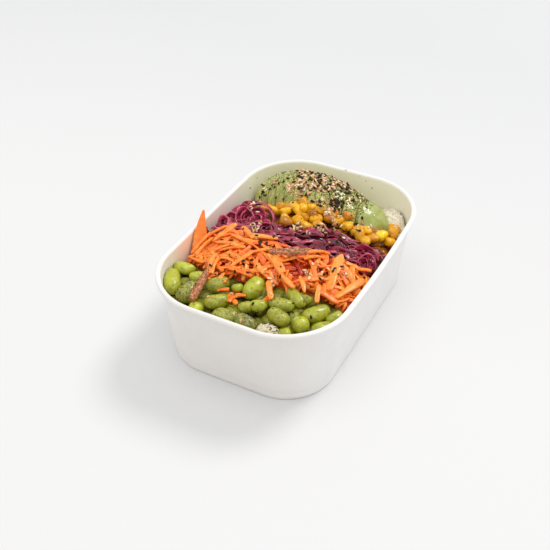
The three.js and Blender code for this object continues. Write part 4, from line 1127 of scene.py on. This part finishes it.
def cabbage_batch():
    random = np.random.default_rng(410)
    batch = Batch()
    pile_ribbons(random, batch)
    for x, y, over, radius, start, sweep, tilt, wide, tint in CABBAGE_LOOPS:
        path = coil_path(*on_heap((x, y, over)), radius, start, sweep, tilt, 34)
        cabbage_ribbon(random, batch, path, wide, 0.9, math.pi / 2.6, tint)
    for x, y, radii, overs, count in CABBAGE_COILS:
        for _ in range(count):
            radius = random.uniform(*radii)
            middle = (x + random.normal(0, 1.6), y + random.normal(0, 1.6), random.uniform(*overs))
            path = coil_path(*on_heap(middle), radius, random.uniform(0, 360),
                             random.uniform(110, 250), random.uniform(0, 32), 20)
            low = path[:, 2] < heap_top(path[:, 0], path[:, 1]) - COIL_DEPTH
            if low.any() or not stays(path, COIL_ROOM, CARROT_END, CABBAGE_END, 1.5):
                continue
            cabbage_ribbon(random, batch, path, random.uniform(2.4, 4.8), random.uniform(0.6, 0.9),
                           random.uniform(0.4, 1.5), random.normal(0.55, 0.18))
    for start, end, wide, tint in CABBAGE_STANDS:
        path = arched(start, end, 0.6, 0, end_steps(16))
        cabbage_ribbon(random, batch, path, wide, 1.0, 0, tint)
    return batch


# ---------------- corn

# Each kernel's middle with its height over the heap, its turn in degrees, its tint, and how
# toasted it is.
KERNELS = [
    (-25, 25, 0, 20, 0.7, 0), (-17, 29, 0, -20, 0.5, 0.4), (-17, 25, 0.5, 60, 0.7, 0),
    (-13, 17, 0.5, 10, 0.6, 0.1), (-9, 28, 0.5, -50, 0.8, 0), (-5, 19, 0.5, -35, 0.6, 0),
    (2, 16, 0.5, 30, 0.7, 0.3), (1, 29.5, 0, 70, 0.3, 0.9), (4, 26, 0, 10, 0.6, 0),
    (-6.5, 30.5, 1.2, 40, 0.75, 0), (12, 29, 1, -10, 0.3, 0.7), (21, 36, 1.5, 20, 0.4, 0.6),
    (24, 30, 0, 80, 0.7, 0.2), (-11, 14.5, 0.5, 15, 0.3, 0.5), (35, 33, 0.5, -30, 0.8, 0.4),
    (44, 37, 1, 60, 1.0, 0), (48, 46, 0.5, -60, 0.6, 0.3), (49, 38, 0, 50, 0.7, 0.2),
    (38, 24, 1, -45, 0.7, 0.3), (47, 50, 0, 20, 0.5, 0.4), (30, 30, 0, 30, 0.6, 0.4),
    (12, 34, 0, -60, 0.4, 0.2), (-31, 27, 0, -30, 0.6, 0), (40, 31, 0, 10, 0.5, 0.3),
    (-3, 25, -0.5, 80, 0.4, 0.2), (8, 21, -0.5, -20, 0.5, 0.3), (17, 31, -0.5, 50, 0.5, 0),
    (-22, 30, 0, 70, 0.5, 0.3), (33, 27, 0, -70, 0.5, 0.2), (-13, 31.5, 0.8, 30, 0.75, 0),
    (-8.5, 35, 1.6, -15, 0.55, 0.3), (-2, 33.5, 1.2, 50, 0.65, 0.1), (4, 33, 1.4, -20, 0.7, 0.2),
    (9.5, 32.5, 1.6, 60, 0.5, 0.6),
]
KERNEL_BALL = ball(18, 14)
KERNEL_SIZES = (7.6, 9.8), (6.2, 7.6), (4.8, 5.8)  # length, width and thickness
KERNEL_DEPTH = 2  # the middles of the visible kernels lie this far under the heap's surface
HIDDEN_KERNELS, HIDDEN_KERNEL_DEPTH = 60, (7.4, 8.8)  # the kernels underneath
KERNEL_AREA, KERNELS_APART = ((CORN_LEFT, 53), (6, 56)), 3.6
CORN_REACH = 0.93  # the kernels underneath start this far out from the avocado's middle


def kernel(random, at, yaw):
    unit, faces = KERNEL_BALL
    along, across, up = np.sign(unit.T) * np.abs(unit.T) ** 0.86
    long, wide, high = (random.uniform(*sizes) for sizes in KERNEL_SIZES)
    narrow = 1 - random.uniform(0.12, 0.32) * along
    dent = 0.16 * np.exp(-(across**2 + up**2) / 0.16) * (along < 0)
    points = np.stack([(along + dent) * long / 2, across * narrow * wide / 2,
                       up * narrow * high / 2], 1)
    points *= 1 + 0.045 * ripple(points, 5, new_seed(random))[:, None]
    spin = turn(yaw, random.uniform(-0.5, 0.5), random.uniform(-0.6, 0.6))
    return placed(points, at, spin), faces


def avocado_reach(x, y):
    """How far out a place in the plan lies from the avocado's middle: 1 is its edge."""
    return np.hypot((x - AVOCADO_X) / AVOCADO_HALF[0], (y - AVOCADO_Y) / AVOCADO_HALF[1])


def in_corn(x, y):
    return in_band(x, y, CABBAGE_END, CORN_END, 0.5) and avocado_reach(x, y) >= CORN_REACH


def corn_batch():
    random = np.random.default_rng(510)
    batch = Batch()
    for x, y, over, yaw, tint, toast in KERNELS:
        at = (x, y, heap_top(x, y) - KERNEL_DEPTH + over)
        batch.add(*kernel(random, at, math.radians(yaw)), tint, toast)
    taken = [(x, y) for x, y, *_ in KERNELS]
    most = len(KERNELS) + HIDDEN_KERNELS
    for spot in free_spots(random, taken, most, KERNEL_AREA, in_corn, KERNELS_APART):
        at = (*spot, heap_top(*spot) - random.uniform(*HIDDEN_KERNEL_DEPTH))
        points, faces = kernel(random, at, random.uniform(0, np.pi))
        if is_inside(points):
            taken.append(spot)
            # The kernels underneath get dark tints: painted shade.
            batch.add(points, faces, random.uniform(0.0, 0.35), random.choice([0.2, 0.6, 1.0]))
    return batch


# ---------------- avocado

AVOCADO_RIGHT, AVOCADO_LEFT = AVOCADO_X + AVOCADO_HALF[0], AVOCADO_X - AVOCADO_HALF[0]
EDGE_ROUNDNESS = 34  # the higher, the sharper a slice's edges
SEAM = 0.03  # half the gap at a cut
RAY_HALVINGS, RAY_END = 34, 6.0  # how finely the slices' skin is found, and how far out
DUST_MIDDLE, DUST_REACH = (-4, 53), (34, 22)  # where the herb dust lies thickest, in the plan
SMOOTH_FROM, SMOOTH_OVER = 14, 14  # the right end's skin begins here, and grows over this


def slice_cuts():
    """The two cuts of every slice at the rice, from the right end to the left."""
    draw = cad_random(61)
    edge, after = AVOCADO_RIGHT + BOWL_HEIGHT, AVOCADO_RIGHT - END_PIECE
    cuts = []
    while edge > AVOCADO_LEFT + SLICE_PITCH / 2:
        far = AVOCADO_LEFT - BOWL_HEIGHT if after - SLICE_PITCH < AVOCADO_LEFT else after
        cuts.append((edge, far))
        edge = far
        after = far - SLICE_PITCH * mix(0.85, 1.15, draw())
    return cuts


def slice_template(rim_steps, around):
    """A plate's points as directions: through its thickness (x), round it (y, z)."""
    profile = [(0.45, -1), (0.75, -1), (0.9, -0.97), (0.96, -0.85), (0.99, -0.6)]
    profile += [(1, s) for s in np.linspace(-0.4, 0.4, rim_steps)]
    profile += [(r, -s) for r, s in profile[4::-1]]
    rings = [(s, r * math.cos(a), r * math.sin(a)) for r, s in profile
             for a in np.linspace(0, TAU, around, endpoint=False)]
    points = np.array([(-1, 0, 0), *rings, (1, 0, 0)], float)
    return points, skin_faces(len(profile), around, flip=True)


def slice_middles():
    """Where the slices' middles are at the rice, from left to right, and how full each stands."""
    middles = [(min(edge, AVOCADO_RIGHT) + max(far, AVOCADO_LEFT)) / 2
               for edge, far in slice_cuts()]
    return middles[::-1], SLICE_SCALES[len(middles) - 1::-1]


def avocado_slice(edge, far, scale, template):
    """One slice: the points where rays from inside it meet the dome, its two cuts and the rice."""
    half_long, half_wide, height = (size * scale for size in AVOCADO_HALF)
    near = min(edge, AVOCADO_X + half_long + 0.6)
    beyond = max(far, AVOCADO_X - half_long - 0.6)
    middle_x = (near + beyond) / 2
    local = math.sqrt(1 - np.clip((middle_x - AVOCADO_X) / half_long, -0.9, 0.9) ** 2)
    lift = 0.4 * height * local
    middle = np.array([middle_x - lift * math.tan(SLICE_LEAN), AVOCADO_Y, TOPPING_BASE + lift])
    half_thick = (near - beyond) / 2 * math.cos(SLICE_LEAN)
    unit, faces = template
    ways = unit * [half_thick, half_wide * local, height * local * 0.8]
    ways[:, 0] -= ways[:, 2] * math.sin(SLICE_LEAN)
    places, fullness = slice_middles()

    def is_within(points):
        x, y, z = points.T
        lean_x = x + (z - TOPPING_BASE) * math.tan(SLICE_LEAN)
        half = np.array(AVOCADO_HALF)[:, None] * np.interp(lean_x, places, fullness)
        out_x = (x - AVOCADO_X) / half[0]
        dome = np.sqrt(out_x**2 + ((y - AVOCADO_Y) / half[1]) ** 2
                       + ((z - TOPPING_BASE) / (half[2] * (1 - AVOCADO_FALL * out_x))) ** 2)
        cut_a = (lean_x - middle_x) / max(1, edge - SEAM - middle_x)
        cut_b = (middle_x - lean_x) / max(1, middle_x - (far + SEAM))
        base = (TOPPING_BASE + 8 - z) / 8
        return sum(np.clip(part, 0, 4) ** EDGE_ROUNDNESS for part in (dome, cut_a, cut_b, base)) < 1

    low, high = np.zeros(len(ways)), np.full(len(ways), RAY_END)
    for _ in range(RAY_HALVINGS):
        half = (low + high) / 2
        within = is_within(middle + ways * half[:, None])
        low, high = np.where(within, half, low), np.where(within, high, half)
    points = middle + ways * low[:, None]
    points += 0.22 * shifts(points, 6, (611, 612, 613))
    points += 0.10 * shifts(points, 2.4, (614, 615, 616))
    points[:, 2] = np.maximum(points[:, 2], TOPPING_BASE)
    return points, faces


def avocado_batches():
    """The slices, from the right: the tint is the herb dust on them, the mark the end's skin."""
    batches = []
    for i, (edge, far) in enumerate(slice_cuts()):
        template = slice_template(7 if i else 9, 72)
        points, faces = avocado_slice(edge, far, SLICE_SCALES[i], template)
        crest = np.exp(-(((points[:, :2] - DUST_MIDDLE) / DUST_REACH) ** 2).sum(axis=1))
        smooth = np.clip((points[:, 0] - SMOOTH_FROM) / SMOOTH_OVER, 0, 1)
        batch = Batch()
        batch.add(points, faces, (0.5 + 0.5 * crest) * (1 - 0.85 * smooth), smooth)
        batches.append(batch)
    return batches


# ---------------- rice

GRAIN_BALL = ball(7, 6)
RICE_ROWS = 26
RICE_INSET = WALL + 0.35  # from the wall's outer face to the rice
BED_GRAINS, CLUMP_GRAINS, CORNER_GRAINS = 1900, 150, 330
GRAIN_AREA = (-52, 52), (28, 81)


def rice_grain(random, at, spin):
    unit, faces = GRAIN_BALL
    long, wide = random.uniform(5.2, 6.6), random.uniform(1.9, 2.4)
    points = unit * [long / 2, wide / 2, wide / 2.1]
    points[:, 1] += random.uniform(0.1, 0.5) * (unit[:, 0] ** 2 - 0.5)
    return placed(points, at, spin), faces


def grains_on_lump(random, grains, middle, half, count, least_tint, most_tint):
    """Grains that lie flat on the upper half of a lump of rice."""
    for _ in range(count):
        way = random.normal(size=3)
        way[2] = abs(way[2])
        way /= np.linalg.norm(way)
        spin = upright(way / half, random.uniform(0, TAU), random.normal(0, 0.2))
        points, faces = rice_grain(random, np.array(middle) + way * half * 0.98, spin)
        if is_inside(points, 0.2):
            grains.add(points, faces, random.uniform(least_tint, most_tint))


def rice_bed():
    """The bed that fills the bowl under the toppings, and the two lumps that show."""
    low = FLOOR_TOP + FLOOR_FILLET + GAP
    rim, base = ring_plan(RICE_TOP, -RICE_INSET), ring_plan(low, -RICE_INSET)
    around = len(rim)
    rings = [np.column_stack([rim * share, np.zeros(around)])
             for share in np.linspace(0, 1, RICE_ROWS)[1:]]
    for ring in rings:
        ring[:, 2] = RICE_TOP - 1.2 + 0.5 * ripple(ring, 4, 111) + 0.3 * ripple(ring, 2, 112)
    rings.append(np.column_stack([base, np.full(around, low)]))
    bed = Batch()
    # The bed between the grains is tinted dark: painted shade.
    bed.add(np.vstack([[[0, 0, RICE_TOP - 0.8]], *rings, [[0, 0, low]]]),
            skin_faces(len(rings), around), 0.1)
    unit, faces = ball(36, 26)
    for middle, half in ((CLUMP_MIDDLE, CLUMP_HALF), (CORNER_MIDDLE, CORNER_HALF)):
        lump = unit * half * (1 + 0.04 * ripple(unit * 8, 4, 113))[:, None] + np.array(middle)
        limits = wall_x(lump[:, 1], RICE_TOP), wall_y(lump[:, 0], RICE_TOP)
        for axis, limit in enumerate(limits):
            lump[:, axis] = np.clip(lump[:, axis], -limit, limit)
        bed.add(lump, faces, 0.8)
    return bed


def rice_grains():
    random = np.random.default_rng(110)
    grains = Batch()
    for _ in range(BED_GRAINS):
        x, y = in_area(random, GRAIN_AREA)
        if (avocado_reach(x, y) < 1.0 or in_band(x, y, CABBAGE_END, CORN_END, -2)
                or y < read_line(CABBAGE_END, x) + 1):
            continue
        across = (x - CORNER_MIDDLE[0]) / CORNER_HALF[0]
        along = (y - CORNER_MIDDLE[1]) / CORNER_HALF[1]
        mound = CORNER_HALF[2] * math.sqrt(max(0, 1 - across**2 - along**2))
        at = (x, y, max(RICE_TOP, CORNER_MIDDLE[2] + mound) + random.uniform(-1.0, 0.5))
        spin = turn(random.uniform(0, np.pi), random.uniform(-0.3, 0.3), 0)
        points, faces = rice_grain(random, at, spin)
        if is_inside(points, 0.2):
            grains.add(points, faces, random.uniform(0.4, 1.0))
    grains_on_lump(random, grains, CORNER_MIDDLE, CORNER_HALF, CORNER_GRAINS, 0.4, 0.85)
    grains_on_lump(random, grains, CLUMP_MIDDLE, CLUMP_HALF, CLUMP_GRAINS, 0.1, 0.5)
    return grains


# ---------------- camera

# Fitted to the rim, the foot and the corners in the photograph.
CAMERA_AZIMUTH, CAMERA_ELEVATION, CAMERA_ROLL = np.radians([28.544, 38.467, -0.982]).tolist()
CAMERA_DISTANCE, CAMERA_TARGET = 519.751, np.array([-6.191, -10.54, 30.0])
FOCAL_PIXELS, FRAME_PIXELS = 845.244, 550
SENSOR = 36


def camera_axes():
    a, e, r = CAMERA_AZIMUTH, CAMERA_ELEVATION, CAMERA_ROLL
    back = np.array([math.sin(a) * math.cos(e), -math.cos(a) * math.cos(e), math.sin(e)])
    right = np.array([math.cos(a), math.sin(a), 0])
    up = np.cross(back, right)
    return right * math.cos(r) + up * math.sin(r), up * math.cos(r) - right * math.sin(r), back


def add_camera():
    axes = camera_axes()
    camera = bpy.data.cameras.new("camera")
    camera.sensor_width = SENSOR
    camera.lens = FOCAL_PIXELS / FRAME_PIXELS * SENSOR
    camera.clip_start, camera.clip_end = 0.01, 20
    item = bpy.data.objects.new("camera", camera)
    place = Matrix(np.column_stack(axes).tolist()).to_4x4()
    place.translation = Vector((CAMERA_TARGET + axes[2] * CAMERA_DISTANCE) * MM)
    item.matrix_world = place
    bpy.context.scene.collection.objects.link(item)
    bpy.context.scene.camera = item


def photo_ray(px, py):
    """The ray through a pixel of the photograph, as origin and direction in millimetres."""
    right, up, back = camera_axes()
    middle = FRAME_PIXELS / 2
    way = right * (px - middle) / FOCAL_PIXELS + up * (middle - py) / FOCAL_PIXELS - back
    return CAMERA_TARGET + back * CAMERA_DISTANCE, way / np.linalg.norm(way)


# ---------------- sesame, herbs and pepper

SEED_BALL, FLAKE = ball(8, 6), ball(5, 3)
SEED_SIZES = (2.4, 3.1), (1.25, 1.65), (0.7, 0.9)  # length, width and thickness
# Patches of seeds in the photograph: middle, half width and half height in pixels, white and
# black seeds.
SEED_PATCHES = [
    (322, 180, 25, 12, 110, 30), (300, 189, 15, 7, 44, 9), (346, 182, 10, 9, 14, 14),
    (336, 205, 8, 7, 8, 24), (268, 190, 8, 7, 3, 6), (283, 184, 11, 8, 4, 4),
    (358, 193, 10, 6, 3, 4), (318, 205, 14, 7, 10, 5), (329, 228, 14, 5, 40, 7),
    (296, 228, 7, 4, 15, 2), (256, 206, 6, 8, 13, 1), (257, 226, 6, 6, 12, 1),
    (314, 272, 10, 9, 17, 2), (340, 273, 10, 10, 4, 2), (362, 226, 10, 8, 4, 4),
    (278, 281, 18, 5, 5, 1), (300, 240, 45, 8, 6, 10),
]
SEEDS_BEHIND, BLACK_BEHIND = (-2, 58, 25, 14, 150), 0.4  # over the avocado's crest, in the plan
# Single seeds where the photograph shows them, by pixel.
SEEN_WHITE = [
    (232, 294), (208, 297), (262, 337), (298, 288), (301, 311), (240.8, 320.8), (276, 279),
]
SEEN_BLACK = [
    (253, 304), (221.7, 240), (245.8, 246.7), (243.3, 260.8), (260, 243.3), (210.8, 265.8),
    (251.7, 260), (341.7, 266.7), (235, 271.7), (364.2, 278.3), (248, 273), (270, 189),
    (260, 197.5), (283.3, 200), (366.7, 196.7), (353.3, 200.8), (311, 317),
]
SEED_CEILING = 64.6  # no seed reaches higher, in millimetres
SEED_CELL, SEED_STEP = 2, 0.45  # seeds in one cell of the plan lie over one another by a step
SEED_SLOPE, HERB_SLOPE = 0.15, 0.05  # the least upward part of the normal where they stay
CARROT_SEEDS_END, CARROT_SEED_TINT = -12, 0.85  # the seeds in front of this are browner
# Patches of herb flakes over everything, in the plan: middle, half sizes, and number.
HERB_PATCHES = [
    (-8, 54, 38, 22, 1150), (-2, 57, 28, 14, 680), (14, 50, 14, 14, 300), (8, 34, 30, 12, 120),
    (0, 5, 50, 16, 260), (-5, -24, 48, 16, 150), (0, -58, 48, 20, 150), (22, -71, 9, 6, 50),
]
HERB_LENGTHS = [0.9, 1.3, 2.2]
WALL_SPECKS = [(360, 176), (366, 181), (372, 188), (257, 178), (250, 188), (346, 170)]  # pixels
PEPPER_ON_BEANS = {3: 170, 7: 150, 8: 170, 4: 50, 13: 50, 2: 20, 15: 40, 5: 25}  # bean: bits
PEPPER_ON_STICK = 180


class Ground:
    """A surface to lay small things on."""

    def __init__(self, batches):
        whole = Batch()
        for batch in batches:
            whole.add(batch.all_points(), batch.faces)
        self.tree = BVHTree.FromPolygons(whole.all_points().tolist(), whole.faces)

    def hit(self, origin, way):
        """Where a ray meets the surface, as place and normal, or None."""
        place, normal, _, _ = self.tree.ray_cast(Vector(origin), Vector(way))
        return (np.array(place), np.array(normal)) if place else None

    def below(self, x, y):
        return self.hit((x, y, 120), (0, 0, -1))

    def seen(self, px, py):
        return self.hit(*photo_ray(px, py))


def seed_body(random, at, normal):
    unit, faces = SEED_BALL
    size = np.array([random.uniform(*sizes) for sizes in SEED_SIZES]) / 2
    points = unit * size
    points[:, 1:] *= (1 - 0.35 * unit[:, 0])[:, None]
    spin = upright(normal, random.uniform(0, TAU), random.normal(0, 0.25))
    return placed(points, at + normal * size[2] * random.uniform(0.5, 1.0), spin), faces


def add_flake(random, batch, hit, low, high):
    """Lays a thin flake, between low and high long, where a ray hit."""
    at, normal = hit
    unit, faces = FLAKE
    long = random.uniform(low, high)
    size = np.array([long, long * random.uniform(0.35, 0.8), random.uniform(0.12, 0.3)]) / 2
    points = unit * size * random.uniform(0.75, 1.25, (len(unit), 1))
    spin = upright(normal, random.uniform(0, TAU), random.normal(0, 0.35))
    points = placed(points, at + normal * size[2] * 0.6, spin)
    batch.add(points, faces, random.uniform(0, 1))


def scatter_seeds(random, ground, seeds):
    """Lays the white and black seeds, each on those that lie there already."""
    stack = {}

    def lay(kind, hit):
        if hit is None or hit[1][2] < SEED_SLOPE:
            return
        at, normal = hit
        cell = (round(at[0] / SEED_CELL), round(at[1] / SEED_CELL))
        level = stack.get(cell, 0)
        stack[cell] = level + 1
        points, faces = seed_body(random, at + UP * SEED_STEP * min(level, 3), normal)
        points[:, 2] -= max(0, points[:, 2].max() - SEED_CEILING)
        most = 1 if at[1] > CARROT_SEEDS_END else CARROT_SEED_TINT
        seeds[kind].add(points, faces, random.uniform(0, 1) * most)

    for px, py, rx, ry, white, black in SEED_PATCHES:
        for kind in ["white"] * white + ["black"] * black:
            seen = ground.seen(*in_oval(random, px, py, rx, ry))
            if seen:
                lay(kind, ground.below(*seen[0][:2]))
    for kind, places in (("white", SEEN_WHITE), ("black", SEEN_BLACK)):
        for px, py in places:
            lay(kind, ground.seen(px, py))
    *patch, count = SEEDS_BEHIND
    for _ in range(count):
        place = in_oval(random, *patch)
        kind = "black" if random.random() < BLACK_BEHIND else "white"
        lay(kind, ground.below(*place))


def scatter_pepper(random, ground, batch):
    """Ground pepper on some beans and on the two seasoned sticks."""
    for index, count in PEPPER_ON_BEANS.items():
        x, y, yaw, long, wide, *_ = BEANS[index]
        c, s = math.cos(math.radians(yaw)), math.sin(math.radians(yaw))
        for _ in range(count):
            u, v = in_oval(random, 0, 0, long / 2, wide / 2)
            hit = ground.below(x + u * c - v * s, y + u * s + v * c)
            if hit:
                add_flake(random, batch, hit, 0.3, 0.8)
    for start, end, wide, *_ in SEASONED_STICKS:
        for _ in range(PEPPER_ON_STICK):
            share = random.uniform(0, 1)
            x, y = (mix(start[i], end[i], share) + random.uniform(-wide[0], wide[0]) / 2
                    for i in (0, 1))
            hit = ground.below(x, y)
            if hit:
                add_flake(random, batch, hit, 0.3, 0.9)


def scatter(ground, bowl):
    """Everything that lies on the food, and the specks on the wall and rim, by kind."""
    random = np.random.default_rng(710)
    kinds = {kind: Batch() for kind in ("white", "black", "herb", "pepper")}
    scatter_seeds(random, ground, kinds)
    for *patch, count in HERB_PATCHES:
        for _ in range(count):
            hit = ground.below(*in_oval(random, *patch))
            if hit and hit[1][2] > HERB_SLOPE:
                add_flake(random, kinds["herb"], hit, 0.4, random.choice(HERB_LENGTHS))
    scatter_pepper(random, ground, kinds["pepper"])
    random, wall = np.random.default_rng(810), Ground([bowl])
    for px, py in WALL_SPECKS:
        hit = wall.seen(px, py)
        if hit:
            add_flake(random, kinds["herb"], hit, 0.9, 1.8)
    return kinds


# ---------------- the whole

# Small things by kind: name, material, its specular value, and its colours by tint.
SMALL_THINGS = {
    "white": ("sesame_white", "sesame_white_skin", 0.25, [
        (0.0, (0.58, 0.28, 0.12)), (0.35, (0.80, 0.47, 0.23)), (0.7, (0.93, 0.69, 0.42)),
        (1.0, (0.96, 0.84, 0.62))]),
    "black": ("sesame_black", "sesame_black_skin", 0.15, [
        (0.0, (0.012, 0.007, 0.004)), (1.0, (0.062, 0.036, 0.018))]),
    "herb": ("herb_flakes", "herb_dry", 0.2, [
        (0.0, (0.04, 0.025, 0.007)), (0.6, (0.13, 0.092, 0.022)), (1.0, (0.33, 0.24, 0.075))]),
    "pepper": ("pepper_grit", "pepper_ground", 0.4, [
        (0.0, (0.02, 0.018, 0.012)), (0.6, (0.12, 0.11, 0.06)), (1.0, (0.50, 0.47, 0.36))]),
}


def build():
    bowl, rice = bowl_batch(), rice_look()
    shreds, sticks = carrot_batches()
    mesh_object("paper_bowl", bowl, paper_look(), "bowl", "paper_bowl")
    food = [  # the piece's name, its bodies, its material, and its CAD node
        ("rice_bed", rice_bed(), rice, "rice"),
        ("rice_grains", rice_grains(), rice, "rice"),
        ("edamame_core", heap_core(FRONT_END, BEANS_END, 9.5, 0.5, 201),
         core_look("edamame_shade", (0.03, 0.022, 0.006), (0.13, 0.10, 0.02)), "edamame"),
        ("edamame_beans", edamame_batch(), bean_look(), "edamame"),
        ("carrot_core", heap_core(BEANS_END, CARROT_END, 5.5, 0.6, 301),
         core_look("carrot_shade", (0.70, 0.05, 0.004), (0.90, 0.12, 0.008)), "carrot"),
        ("carrot_shreds", shreds, carrot_look(), "carrot"),
        ("carrot_sticks", sticks, seasoned_look(), "carrot"),
        ("cabbage_core", heap_core(CARROT_END, CABBAGE_END, 5.5, 0.6, 401),
         core_look("cabbage_shade", (0.035, 0.001, 0.005), (0.11, 0.004, 0.015)), "cabbage"),
        ("cabbage_ribbons", cabbage_batch(), cabbage_look(), "cabbage"),
        ("corn_core", heap_core(CABBAGE_END, CORN_END, 8.0, 0.5, 501, CORN_LEFT),
         core_look("corn_shade", (0.06, 0.015, 0.003), (0.2, 0.06, 0.008)), "corn"),
        ("corn_kernels", corn_batch(), corn_look(), "corn"),
    ]
    for name, batch, look, node in food:
        mesh_object(name, batch, look, node, node)
    slices, flesh = avocado_batches(), avocado_look()
    for i, batch in enumerate(slices, 1):
        mesh_object(f"avocado_cut_{i:02d}", batch, flesh, f"avocado_slice_{i:02d}", "avocado")
    ground = Ground([batch for _, batch, _, _ in food] + slices)
    for kind, batch in scatter(ground, bowl).items():
        name, skin, specular, colours = SMALL_THINGS[kind]
        mesh_object(name, batch, seed_look(skin, specular, *colours))


FLOOR_HALF, FLOOR_DROP = 4.0, 0.0002
# Soft lights: name, place and diameter in metres, power in watts, and colour.
LIGHTS = [
    ("key", (0.95, 2.15, 3.0), 1.3, 56, (1.0, 0.985, 0.96)),
    ("overhead", (-0.2, -0.5, 2.0), 2.0, 11, (1.0, 1.0, 1.0)),
]
LIT_PLACE = (0, 0, 0.03)
SKY_STRENGTH = 0.8


def add_floor():
    mesh = bpy.data.meshes.new("floor")
    corners = [(x * FLOOR_HALF, y * FLOOR_HALF, 0) for x, y in ((-1, -1), (1, -1), (1, 1), (-1, 1))]
    mesh.from_pydata(corners, [], [(0, 1, 2, 3)])
    mesh.materials.append(floor_look())
    floor = bpy.data.objects.new("floor", mesh)
    floor.location.z = -FLOOR_DROP
    bpy.context.scene.collection.objects.link(floor)
    floor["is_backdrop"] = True


def add_light(name, at, size, power, colour):
    light = bpy.data.lights.new(name, "AREA")
    light.shape = "DISK"
    light.size, light.energy, light.color = size, power, colour
    item = bpy.data.objects.new(name, light)
    item.location = at
    item.rotation_euler = (Vector(LIT_PLACE) - Vector(at)).to_track_quat("-Z", "Y").to_euler()
    bpy.context.scene.collection.objects.link(item)


def add_studio():
    world = bpy.data.worlds.new("studio")
    world.use_nodes = True
    sky = world.node_tree.nodes["Background"].inputs
    sky["Color"].default_value = (1.0, 1.0, 1.0, 1)
    sky["Strength"].default_value = SKY_STRENGTH
    bpy.context.scene.world = world
    for light in LIGHTS:
        add_light(*light)
    bpy.context.scene.view_settings.view_transform = "Standard"
    bpy.context.scene.view_settings.look = "None"


build()
add_floor()
add_camera()
add_studio()

plain = lambda box: [[float(v) for v in corner] for corner in box]
{"cad": plain(cad_box), "visual": plain(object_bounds())}
